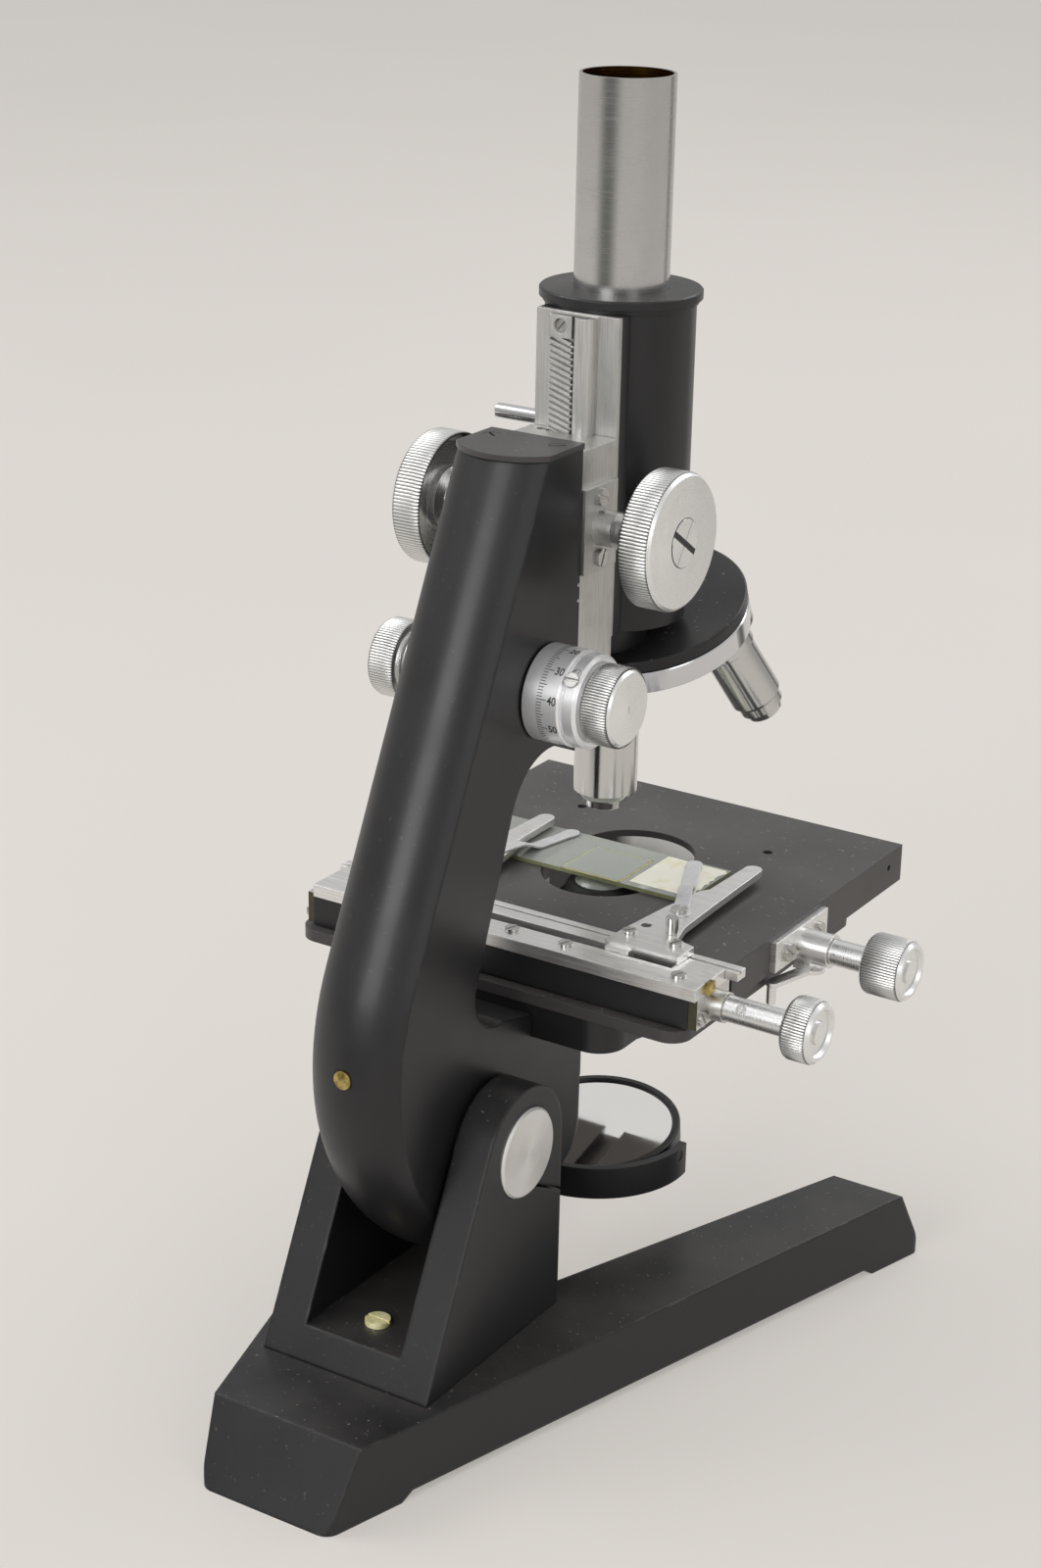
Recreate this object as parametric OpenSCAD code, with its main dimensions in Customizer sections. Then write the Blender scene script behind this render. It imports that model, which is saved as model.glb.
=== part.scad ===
// Monocular bench microscope with an inclinable limb, a double-plate mechanical stage,
// a triple nosepiece, separate coarse and fine focus and a gimballed mirror.
// Millimetres. +Z up, +X to the user's right, +Y from the limb towards the front of the stage.
// The origin is the centre of the rear foot pad, on the bench.

/* [Stand] */
// Distance from the centre of the rear foot pad to the optical axis
optical_y = 147; // [142:1:152]
// Height of the cast foot
foot_h = 21.5; // [18:0.5:25]
// Reach of the foot behind the optical axis
foot_back = 158.5; // [154:0.5:163]
// Reach of the two legs in front of the optical axis
foot_front = 56; // [46:1:66]
// Half width of the foot at its rear edge
foot_rear_half = 20; // [18:0.5:23]
// Outward splay of the legs, per millimetre of length
leg_splay = 0.283; // [0.24:0.005:0.3]
// Clearance of the underside between the foot pads
foot_relief = 2.4; // [1.5:0.1:4]
// Width over both cheeks of the pillar
pillar_w = 51.4; // [48:0.2:56]
// Width of the slot between the cheeks
slot_w = 29.8; // [29.6:0.1:31]
// Height of the inclination pivot above the bench
pivot_z = 74.8; // [70:0.2:80]
// Radius of the rounded top of each cheek
cheek_r = 18; // [16:0.2:20]

/* [Limb] */
// Width of the cast limb
arm_w = 27; // [24:0.5:28]
// Lean of the back of the limb from upright, in degrees
arm_lean = 25; // [23:0.5:27]
// Height of the limb under its cap plate
arm_top = 252.2; // [248:0.2:256]
// Rise of the rounded back over the flat sides
arm_crown = 6; // [4:0.5:7]

/* [Tubes] */
// Bore that takes a standard eyepiece
eyepiece_bore = 23.2; // [23.2:0.1:23.5]
// Outside diameter of the eyepiece tube
tube_d = 25; // [24.6:0.1:27]
// Mechanical tube length from eyepiece rim to objective shoulder
tube_len = 160; // [130:1:195]
// Outside diameter of the body tube
body_d = 39.6; // [37:0.2:47.6]
// Width of the lip of the tube flange over the body tube
flange_lip = 1.6; // [1:0.1:3]

/* [Focusing] */
// Height of the coarse pinion
coarse_z = 230.1; // [226:0.1:234]
// Diameter of the coarse focus knobs
coarse_knob_d = 35.3; // [30:0.1:40]
// Number of pinion teeth
pinion_teeth = 27; // [27:1:27]
// Normal module of rack and pinion
rack_module = 0.5; // [0.5:0.1:0.5]
// Helix angle of rack and pinion, in degrees
rack_helix = 17; // [14:1:18]
// Height of the fine focus shaft
fine_z = 192.2; // [191:0.2:196]
// Diameter of the graduated fine focus drum
drum_d = 25.2; // [22:0.2:27]
// Diameter of the fine focus knobs
fine_knob_d = 20.4; // [16:0.2:24]

/* [Nosepiece] */
// Lean of the nosepiece axis, in degrees
turret_tilt = 19.4; // [19:0.1:19.8]
// Radius of the fixed dished plate
turret_r = 30; // [29:0.5:31]
// Diameter of the objective thread
objective_thread = 20.32; // [20.32:0.01:20.32]
// Diameter of the working objective's barrel
objective_d = 17.6; // [15:0.2:20]

/* [Stage] */
// Height of the stage surface
stage_z = 120.5; // [119:0.5:122]
// Width of the stage plates
stage_w = 120; // [110:1:144]
// Length of the top plate, front to back
stage_l = 101.8; // [95:0.2:110]
// Radius of the stage opening
opening_r = 17.2; // [15:0.2:18]
// Length by which the stage opening is drawn out
opening_draw = 18; // [12:1:20]
// Diameter of the stage control knobs
stage_knob_d = 16.3; // [12:0.1:17]

/* [Substage] */
// Diameter of the condenser mount
condenser_d = 36.8; // [30.6:0.2:38]
// Outside diameter of the mirror cell
mirror_d = 50; // [44:0.5:60]
// Height of the mirror pivot
mirror_z = 40; // [37:0.5:42]

/* [Hidden] */

$fn = 96;
eps = 0.01;
// Running gap of a shaft in its bore, on the radius
run = 0.05;

// Optical axis as the shared datum: everything above the foot is placed from it
module at_axis() translate([0, optical_y, 0]) children();
// A profile drawn in (y, z), extruded along X about the middle plane
module across(w) rotate([90, 0, 90]) linear_extrude(w, center = true) children();
// A cylinder along X, centred at (y, z), from x0 to x1
module x_rod(r, x0, x1, y, z) translate([x0, y, z]) rotate([0, 90, 0]) cylinder(r = r, h = x1 - x0);
// A cylinder along Y
module y_rod(r, y0, y1, x, z) translate([x, y0, z]) rotate([-90, 0, 0]) cylinder(r = r, h = y1 - y0);
// A box given by its two corners
module box(a, b) translate(a) cube(b - a);
module both_sides() { children(); mirror([1, 0, 0]) children(); }
// A slotted cheese head with its shank, head under the origin plane pointing up +Z
module slotted(head_r, head_h, shank_r, shank_l, slot = 0.7) {
    difference() {
        union() {
            cylinder(r = head_r, h = head_h);
            translate([0, 0, -shank_l]) cylinder(r = shank_r, h = shank_l + eps);
        }
        translate([-head_r - 1, -slot / 2, head_h * 0.5]) cube([2 * head_r + 2, slot, head_h]);
    }
}
module face_x() rotate([0, 90, 0]) children();

// ---------------------------------------------------------------- foot and pillar
foot_y0 = -foot_back;
foot_y1 = foot_front;
foot_slope = 10.3;
// Front edge of the rear pad, so that the pad is centred on the origin
pad_y = foot_back - 2 * optical_y;
corner_r = 4.5;
tip_r = 3;
crotch_y = -62;
crotch_half = 16;
leg_inner = 0.367;
function outer_x(y) = foot_rear_half + leg_splay * (y - foot_y0);
function inner_x(y) = crotch_half + leg_inner * (y - crotch_y);
ko = sqrt(1 + leg_splay * leg_splay);
ki = sqrt(1 + leg_inner * leg_inner);
rear_c = [outer_x(foot_y0 + corner_r) - corner_r * ko, foot_y0 + corner_r];
tip_out = [outer_x(foot_y1 - tip_r) - tip_r * ko, foot_y1 - tip_r];
tip_in = [inner_x(foot_y1 - tip_r) + tip_r * ki, foot_y1 - tip_r];

module foot_half_plan() {
    polygon([[0, foot_y0], [rear_c.x, foot_y0],
        rear_c + corner_r * [1, -leg_splay] / ko,
        tip_out + tip_r * [1, -leg_splay] / ko,
        tip_out + [0, tip_r], tip_in + [0, tip_r],
        tip_in - tip_r * [1, -leg_inner] / ki,
        [crotch_half, crotch_y], [0, crotch_y]]);
    translate(rear_c) circle(corner_r);
    translate(tip_out) circle(tip_r);
    translate(tip_in) circle(tip_r);
}
bolt_x = 20;
bolt_y = -92;
module base_casting() {
    color([0.09, 0.09, 0.1]) at_axis() difference() {
        intersection() {
            linear_extrude(foot_h) both_sides() foot_half_plan();
            across(400) polygon([[foot_y0, 0], [pad_y, 0], [pad_y + 3.5, foot_relief],
                [32, foot_relief], [35, 0], [foot_y1, 0],
                [foot_y1 - foot_slope, foot_h], [foot_y0 + foot_slope, foot_h]]);
        }
        both_sides() {
            translate([bolt_x, bolt_y, -1]) cylinder(r = 5.4, h = 9);
            translate([bolt_x, bolt_y, -1]) cylinder(r = 3.05, h = 40);
        }
        translate([0, recess_screw_y, 12]) cylinder(r = 2, h = 20);
    }
}

pivot_y = -78.7;
rear_slope = 0.474;
pillar_front = pivot_y + cheek_r - 0.02;
recess_floor = 30;
recess_screw_y = -108.5;
cap_r = 12.3;
pin_r = 8.7;
// Rear face of the pillar: a plane that is tangent to the rounded cheek top
rear_n = [-1, rear_slope] / sqrt(1 + rear_slope * rear_slope);
rear_tan = [pivot_y, pivot_z] + (cheek_r - 0.02) * rear_n;
rear_foot = [rear_tan.x - rear_slope * (rear_tan.y - foot_h), foot_h];
module pillar() {
    color([0.09, 0.09, 0.1]) at_axis() difference() {
        union() {
            across(pillar_w) polygon([rear_foot, rear_tan, [pivot_y, pivot_z + 5],
                [pillar_front, pivot_z], [pillar_front, foot_h]]);
            x_rod(cheek_r, -pillar_w / 2, pillar_w / 2, pivot_y, pivot_z);
        }
        // slot for the limb, open at the back and over the front web
        box([-slot_w / 2, -200, recess_floor], [slot_w / 2, pillar_front - 4.5, 140]);
        box([-slot_w / 2, pillar_front - 5, 40], [slot_w / 2, 0, 140]);
        x_rod(pin_r, -60, 60, pivot_y, pivot_z);
        both_sides() {
            x_rod(cap_r + 0.05, pillar_w / 2 - 2, pillar_w / 2 + 5, pivot_y, pivot_z);
            // clamping slit from the pivot bore to the front edge
            translate([slot_w / 2 - 1, pivot_y, pivot_z]) rotate([-27.5, 0, 0])
                translate([0, 1.5, -pin_r + 0.1]) cube([20, 40, 0.8]);
            translate([bolt_x, bolt_y, foot_h - 1]) cylinder(r = 2.6, h = 17);
        }
        translate([0, recess_screw_y, foot_h - 1]) cylinder(r = 2, h = 20);
    }
}
module base_bolts() {
    color([0.55, 0.55, 0.56]) at_axis() both_sides() translate([bolt_x, bolt_y, 0]) {
        difference() {
            translate([0, 0, 3.5]) cylinder(r = 5, h = 4.5);
            translate([0, 0, 3.4]) cylinder(r = 2.9, h = 2.6, $fn = 6);
        }
        translate([0, 0, 7.5]) cylinder(r = 2.6, h = foot_h + 7);
    }
}
module pivot_pin() {
    color([0.7, 0.7, 0.7]) at_axis() x_rod(pin_r, -pillar_w / 2 + 2, pillar_w / 2 - 2, pivot_y, pivot_z);
}
module pivot_caps() {
    color([0.78, 0.79, 0.78]) at_axis() both_sides()
        translate([pillar_w / 2 - 2, pivot_y, pivot_z]) rotate([0, 90, 0])
            rotate_extrude() polygon([[0, 0], [cap_r, 0], [cap_r, 2.5], [cap_r - 0.6, 3.1], [cap_r * 0.5, 3.35], [0, 3.4]]);
}
module recess_screw() {
    color([0.75, 0.66, 0.38]) at_axis() translate([0, recess_screw_y, recess_floor])
        slotted(3.4, 1.4, 2, 17.5, 0.8);
}

// ---------------------------------------------------------------- limb
body_r = body_d / 2;
plate_t = 1.5;
// Face of the tube that carries the rack, front of the limb's head
rack_seat = -body_r - plate_t;
head_front = rack_seat - 18;
heel_c = [-56.2, 103.8];
heel_r = 62;
back_dir = [sin(arm_lean), cos(arm_lean)];
back_n = [-cos(arm_lean), sin(arm_lean)];
heel_out = heel_r + arm_crown;
back_0 = heel_c + heel_r * back_n;
back_top = back_0 + back_dir * (arm_top - back_0.y) / back_dir.y;
heel_end = 242;
crown_r = (arm_w * arm_w / 4 + arm_crown * arm_crown) / (2 * arm_crown);
tail_front = -31.8;
tail_floor = 50;
bracket_z = 96;
bracket_back = -57;
arch_c = [-51.5, 157.5];
arch_r = 18.5;
throat_c = [-73.3, 117.7];
throat_r = 11.5;
throat_n = [-0.941, 0.339];
throat_floor = 102.5;
fine_y = head_front - 14.9;
tongue_half = 6;
tongue_d = 4;

module arm_profile() {
    heel_tail = heel_c + heel_r * [cos(heel_end + 1.5), sin(heel_end + 1.5)];
    toe = 12;
    difference() {
        union() {
            polygon([[head_front, arm_top], back_top, back_0, heel_tail,
                [tail_front - toe, tail_floor], [tail_front - toe, tail_floor + toe],
                [tail_front, tail_floor + toe], [tail_front, bracket_z], [tail_front, 130], [head_front, 160]]);
            intersection() {
                translate(heel_c) circle(heel_r, $fn = 180);
                polygon([heel_c, heel_c + 2 * heel_r * back_n, heel_c + 2 * heel_r * [-1, 0], heel_c + 2 * (heel_tail - heel_c)]);
            }
            translate([tail_front - toe, tail_floor + toe]) circle(toe);
        }
        translate(arch_c) circle(arch_r);
        translate(throat_c) circle(throat_r);
        polygon([arch_c + arch_r * throat_n, throat_c + throat_r * throat_n, throat_c, throat_c + [2, -throat_r],
            [bracket_back, throat_floor], [bracket_back, bracket_z], [0, bracket_z], [0, arch_c.y], arch_c]);
    }
}
// Section of the rounded back, drawn as (across, outwards) from the flat back edge
module crown() intersection() {
    translate([0, arm_crown - crown_r]) circle(crown_r);
    translate([-arm_w / 2 + 0.02, -1.5]) square([arm_w - 0.04, arm_crown + 3]);
}
cap_t = 1.5;
cap_screw = [9.7, head_front - 6.4];
stop_z = 107;
module arm() {
    color([0.09, 0.09, 0.1]) at_axis() difference() {
        union() {
            across(arm_w) arm_profile();
            // rounded back: straight up the limb, then turned about the heel
            intersection() {
                translate([0, back_0.x, back_0.y]) rotate([-arm_lean, 0, 0])
                    linear_extrude(160) mirror([0, 1]) crown();
                box([-50, -200, 100], [50, 0, arm_top]);
            }
            translate([0, heel_c.x, heel_c.y]) rotate([90, 0, 90]) rotate([0, 0, 180 - arm_lean])
                rotate_extrude(angle = heel_end - 180 + arm_lean, $fn = 180)
                    translate([heel_r, 0]) rotate([0, 0, -90]) crown();
            // pivot bosses
            x_rod(15.5, -slot_w / 2 + 0.15, slot_w / 2 - 0.15, pivot_y, pivot_z);
        }
        x_rod(pin_r + run, -60, 60, pivot_y, pivot_z);
        x_rod(3.2, -60, 60, fine_y, fine_z);
        // guide groove for the fine focus block
        box([-tongue_half - 0.08, head_front - tongue_d - 0.1, 150], [tongue_half + 0.08, head_front + 1, 300]);
        both_sides() translate([cap_screw.x, cap_screw.y, arm_top - 8]) cylinder(r = 1.25, h = 20);
        y_rod(1.9, -150, heel_c.x - heel_r + 4, 0, stop_z);
        y_rod(2.55, -150, heel_c.x - heel_out + 1.2, 0, stop_z);
    }
}
cap_bow = 17.4;
cap_back = back_top.x - arm_crown / cos(arm_lean) - 0.7;
module arm_cap() {
    color([0.12, 0.12, 0.12]) at_axis() difference() {
        translate([0, 0, arm_top]) linear_extrude(cap_t) intersection() {
                translate([-arm_w / 2 - 0.4, cap_back - 1]) square([arm_w + 0.8, head_front - cap_back + 1]);
                union() {
                    translate([0, cap_back + cap_bow]) circle(cap_bow);
                    translate([-20, cap_back + cap_bow]) square([40, 40]);
                }
        }
        both_sides() translate([cap_screw.x, cap_screw.y, arm_top - 1]) {
            cylinder(r = 1.25, h = 20);
            translate([0, 0, 1.5]) cylinder(r = 2.3, h = 20);
        }
    }
}
module arm_cap_screws() {
    color([0.2, 0.2, 0.2]) at_axis() both_sides()
        translate([cap_screw.x, cap_screw.y, arm_top + 0.5]) rotate([0, 0, 40]) slotted(2.25, 0.95, 1.25, 7);
}
module stop_pin() {
    color([0.75, 0.66, 0.38]) at_axis() {
        y_rod(1.9, heel_c.x - heel_out + 1, heel_c.x - heel_r + 3.9, 0, stop_z);
        y_rod(2.5, heel_c.x - heel_out - 0.2, heel_c.x - heel_out + 1.15, 0, stop_z);
    }
}

// ---------------------------------------------------------------- focusing
block_half = 13;
block_front = rack_seat - 0.3;
block_z0 = 192;
block_z1 = 251;
mt = rack_module / cos(rack_helix);
rack_tip = rack_seat - 3.3;
pitch_r = pinion_teeth * mt / 2;
pinion_y = rack_tip + rack_module - pitch_r;
rack_x0 = -6.6;
rack_x1 = 0.1;
rail_x = 3.15;
rail_r = 2.95;
rail_y = rack_seat - 1.3;
shaft_r = 3;
plate_z = [coarse_z - 11.2, coarse_z + 11.2];
plate_screw = 8;

module focus_block() {
    color([0.72, 0.73, 0.72]) at_axis() difference() {
        union() {
            box([-block_half, head_front, block_z0], [block_half, block_front, block_z1]);
            box([-tongue_half, head_front - tongue_d, block_z0 + 1.5], [tongue_half, head_front + 1, block_z1 - 0.5]);
        }
        // channel for the rack, bore for the round guide bar
        box([rack_x0 - 0.3, rack_tip - 0.5, 150], [rack_x1 + 0.5, 0, 300]);
        translate([rail_x, rail_y, 150]) cylinder(r = rail_r + 0.05, h = 150);
        box([rail_x - rail_r - 0.05, rail_y, 150], [rail_x + rail_r + 0.05, 0, 300]);
        // pinion chamber and cross bore
        x_rod(pitch_r + rack_module + 0.25, rack_x0 - 0.8, rack_x1 + 1, pinion_y, coarse_z);
        x_rod(shaft_r + 0.6, -60, 60, pinion_y, coarse_z);
        both_sides() for (s = [-1, 1])
            x_rod(1.2, block_half - 5, block_half + 5, pinion_y, coarse_z + s * plate_screw);
        translate([-8.6, block_front - 2.2, block_z1 - 8]) cylinder(r = 1.3, h = 20);
    }
}
module pinion_bearings() {
    color([0.72, 0.73, 0.72]) at_axis() both_sides() difference() {
        union() {
            box([block_half, head_front + 0.3, plate_z[0]], [block_half + 1.5, block_front - 1.6, plate_z[1]]);
            x_rod(4.65, block_half + 1, block_half + 6.7, pinion_y, coarse_z);
        }
        x_rod(shaft_r + run, 0, 60, pinion_y, coarse_z);
        for (s = [-1, 1]) x_rod(1.25, 0, 60, pinion_y, coarse_z + s * plate_screw);
    }
}
module bearing_screws() {
    color([0.6, 0.6, 0.6]) at_axis() both_sides() for (s = [-1, 1])
        translate([block_half + 1.5, pinion_y, coarse_z + s * plate_screw])
            rotate([20 + 45 * s, 0, 0]) face_x() slotted(2.4, 1, 1.2, 6, 0.6);
}
fine_drum_x = [arm_w / 2 + 0.5, arm_w / 2 + 11.1];
fine_hub_x = fine_drum_x[1] + 4.6;
module fine_shaft() {
    color([0.7, 0.7, 0.7]) at_axis() x_rod(3.15, -fine_hub_x - 3.2, fine_hub_x + 5.6, fine_y, fine_z);
}
module knob_turn(x0) translate([x0, fine_y, fine_z]) rotate([0, 90, 0]) children();
module fine_drum() {
    color([0.75, 0.75, 0.76]) at_axis() knob_turn(fine_drum_x[0]) rotate_extrude()
        polygon([[3.15, 0], [drum_d / 2, 0], [drum_d / 2, 10.1], [drum_d / 2 - 0.5, 10.6],
            [drum_d / 2 - 1, 10.6], [drum_d / 2 - 1, 11], [drum_d / 2 - 0.4, 11.6],
            [drum_d / 2 - 0.4, 14.4], [drum_d / 2 - 1.2, 15.2], [3.15, 15.2]]);
}
module fine_knob() rotate_extrude() polygon([[3.15, 0], [fine_knob_d / 2 - 0.6, 0], [fine_knob_d / 2, 0.6],
    [fine_knob_d / 2, 7.6], [fine_knob_d / 2 - 1, 8.6], [0, 8.9], [0, 5.8], [3.15, 5.8]]);
module fine_knobs() {
    color([0.78, 0.78, 0.79]) at_axis() {
        knob_turn(fine_hub_x) fine_knob();
        mirror([1, 0, 0]) knob_turn(fine_hub_x - 2.4) {
            fine_knob();
            translate([0, 0, -12]) rotate_extrude()
                polygon([[3.15, 0], [7.4, 0], [8, 0.6], [8, 11], [7.5, 12], [3.15, 12]]);
        }
    }
}
module fine_set_screws() {
    color([0.55, 0.55, 0.55]) at_axis() {
        translate([fine_hub_x - 2.5, fine_y, fine_z]) rotate([50, 0, 0])
            translate([0, 0, drum_d / 2 - 0.4]) slotted(2, 0.9, 1.2, 0);
        translate([-fine_hub_x + 6.5, fine_y, fine_z]) rotate([35, 0, 0])
            translate([0, 0, 8]) slotted(1.8, 0.9, 1.2, 0);
    }
}
// Pinion: involute flanks, worked out from the base circle, with a little backlash
flank_n = 20;
flank_t = atan(tan(flank_n) / cos(rack_helix));
base_r = pitch_r * cos(flank_t);
pinion_tip = pitch_r + rack_module * 0.9;
pinion_root = pitch_r - rack_module * 1.25;
backlash = 0.07;
function inv(a) = tan(a) * 180 / PI - a;
function half_tooth(r) = 90 / pinion_teeth - backlash / pitch_r * 90 / PI
    + inv(flank_t) - (r > base_r ? inv(acos(base_r / r)) : 0);
flank_radii = [pinion_root, base_r, (base_r + pitch_r) / 2 + 0.1, pitch_r + 0.1, pinion_tip];
module pinion_outline() {
    rise = [for (r = flank_radii) [-half_tooth(r), r]];
    fall = [for (i = [len(flank_radii) - 1 : -1 : 0]) [half_tooth(flank_radii[i]), flank_radii[i]]];
    polygon([for (i = [0 : pinion_teeth - 1]) for (k = concat(rise, fall))
        let (a = 90 + i * 360 / pinion_teeth + k[0]) k[1] * [cos(a), sin(a)]]);
}
pinion_w = rack_x1 - rack_x0;
pinion_twist = pinion_w * tan(rack_helix) / pitch_r * 180 / PI;
knob_in = block_half + 6.9;
knob_out = knob_in + 19;
module pinion_shaft() {
    color([0.7, 0.7, 0.7]) at_axis() {
        difference() {
            x_rod(shaft_r, -knob_out + 2.6, knob_out - 2.6, pinion_y, coarse_z);
            both_sides() x_rod(1.5, knob_out - 8, knob_out, pinion_y, coarse_z);
        }
        translate([rack_x0, pinion_y, coarse_z]) rotate([0, 90, 0])
            linear_extrude(pinion_w, twist = pinion_twist, slices = 4, convexity = 4)
                rotate([0, 0, pinion_twist / 2]) difference() { pinion_outline(); circle(shaft_r - 0.5, $fn = 48); }
    }
}
module coarse_knob() rotate_extrude() polygon([[shaft_r, 0], [4.8, 0], [4.8, 2.6], [6.6, 4.6], [6.6, 9.5],
    [8.6, 11.4], [8.6, 13.6], [coarse_knob_d / 2 - 2.8, 14.6], [coarse_knob_d / 2 - 2.2, 12.5],
    [coarse_knob_d / 2 - 0.8, 12.3], [coarse_knob_d / 2, 13.1], [coarse_knob_d / 2, 18.1],
    [coarse_knob_d / 2 - 0.8, 18.9], [6.3, 19.1], [6.3, 16.4], [shaft_r, 16.4]]);
module coarse_knobs() {
    color([0.78, 0.78, 0.79]) at_axis() both_sides()
        translate([knob_in, pinion_y, coarse_z]) rotate([0, 90, 0]) coarse_knob();
}
module knob_screws() {
    color([0.75, 0.75, 0.76]) at_axis() both_sides() translate([knob_in + 16.4, pinion_y, coarse_z])
        rotate([35, 0, 0]) face_x() difference() {
            rotate_extrude() polygon([[0, -5.4], [1.5, -5.4], [1.5, 0], [6.2, 0], [6.2, 2.7], [4, 3.2], [0, 3.4]]);
            translate([-8, -0.6, 1.6]) cube([16, 1.2, 4]);
        }
}
turret_y = 14.6;
turret_z = 196.5;
body_z0 = turret_z + (body_r - turret_y) * tan(turret_tilt) - 0.83;
flange_z = 283;
boss_half = 12.3;
rack_z0 = 199;
rack_z1 = 281.3;
rack_teeth_z1 = 275.5;
rack_screw_z = [201.6, 278.6];
rack_screw_sink = 2.1;
neck_r = 10.1;
tube_wall = 3.2;
module body_tube() {
    color([0.09, 0.09, 0.1]) at_axis() difference() {
        union() {
            translate([0, 0, body_z0]) cylinder(r = body_r, h = flange_z - 1.2 - body_z0);
            box([-boss_half, rack_seat + plate_t, body_z0], [boss_half, 0, flange_z - 1.2]);
            difference() {
                translate([0, 0, 150]) cylinder(r = neck_r, h = body_z0 - 149);
                turret_frame() box([-60, -60, -60], [60, 60, -plate_h / 2]);
                plate_blank();
            }
        }
        translate([0, 0, body_z0 + 4]) cylinder(r = body_r - tube_wall, h = 200);
        translate([0, 0, 100]) cylinder(r = light_r, h = 200);
        // flat bottom of the channel for rack and guide screws
        for (z = rack_screw_z) y_rod(1.2, rack_seat - 0.7, rack_seat + 4.3, rack_mid, z);
        x_rod(2, -boss_half - 8, -boss_half + 5, stud_y, stud_z);
    }
}
stud_y = rack_seat + 3.9;
stud_z = 252;
module tube_stud() {
    color([0.8, 0.8, 0.81]) at_axis() x_rod(2, -26, -boss_half + 5, stud_y, stud_z);
}
module slide_plate() {
    color([0.72, 0.73, 0.72]) at_axis() difference() {
        union() {
            box([-boss_half, rack_seat, body_z0], [boss_half, rack_seat + plate_t, flange_z - 1.2]);
            intersection() {
                translate([rail_x, rail_y, rack_z0]) cylinder(r = rail_r, h = rack_z1 - rack_z0);
                box([0, rack_seat - 9, 0], [20, rack_seat + 0.5, 400]);
            }
        }
        for (z = rack_screw_z) y_rod(1.2, rack_seat - 0.7, rack_seat + 4.3, rack_mid, z);
    }
}
pitch_n = PI * rack_module;
rack_mid = (rack_x0 + rack_x1) / 2;
// Gaps between the rack's teeth in (y, z), square to the slanting teeth; one faces the pinion
module rack_gaps_profile() {
    below = ceil((coarse_z - rack_z0) / pitch_n) + 2;
    above = ceil((rack_z1 - coarse_z) / pitch_n) + 2;
    deep = 2.2 * rack_module;
    flank = tan(flank_n);
    half_mouth = pitch_n / 4 + rack_module * flank;
    half_floor = half_mouth - deep * flank;
    clear = 0.5;
    for (i = [-below : above]) translate([rack_tip, i * pitch_n])
        polygon([[-clear, -half_mouth - clear * flank], [deep, -half_floor],
            [deep, half_floor], [-clear, half_mouth + clear * flank]]);
}
module rack() {
    color([0.76, 0.76, 0.75]) at_axis() difference() {
        box([rack_x0, rack_tip, rack_z0], [rack_x1, rack_seat, rack_z1]);
        intersection() {
            box([rack_x0 - 5, rack_tip - 5, rack_z0 - 5], [rack_x1 + 5, rack_seat + 1, rack_teeth_z1]);
            translate([rack_mid, 0, coarse_z]) rotate([0, rack_helix, 0]) across(60) rack_gaps_profile();
        }
        for (z = rack_screw_z) {
            y_rod(1.2, rack_tip - 5, 0, rack_mid, z);
            y_rod(1.9, rack_tip - 5, rack_tip + rack_screw_sink, rack_mid, z);
        }
    }
}
module rack_screws() {
    color([0.6, 0.6, 0.6]) at_axis() for (z = rack_screw_z)
        translate([rack_mid, rack_tip + rack_screw_sink, z]) rotate([90, 0, 0]) rotate([0, 0, 50])
            slotted(1.85, 1, 1.2, 5.2, 0.6);
}
flange_r = body_r + flange_lip;
module tube_flange() {
    color([0.1, 0.1, 0.1]) at_axis() translate([0, 0, flange_z - 1.2]) rotate_extrude()
        polygon([[tube_d / 2, -3], [body_r - tube_wall, -3], [body_r - tube_wall, 0], [flange_r - 1, 0],
            [flange_r - 1, 1.2], [flange_r, 1.2], [flange_r, 3.2], [flange_r - 0.4, 3.6],
            [tube_d / 2, 3.6]]);
}
module eyepiece_tube() {
    color([0.78, 0.79, 0.8]) at_axis() translate([0, 0, 262]) difference() {
        cylinder(r = tube_d / 2, h = tube_top - 262);
        translate([0, 0, -1]) cylinder(r = eyepiece_bore / 2, h = 200);
    }
}

// ---------------------------------------------------------------- nosepiece
seat_z = turret_z - 16.8;
tube_top = seat_z + tube_len;
thread_l = 3;
light_r = 7.5;
collar_r = 11.2;
plate_h = 3.6;
ring_h = 6.8;
module turret_frame() translate([0, turret_y, turret_z]) rotate([turret_tilt, 0, 0]) children();
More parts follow.
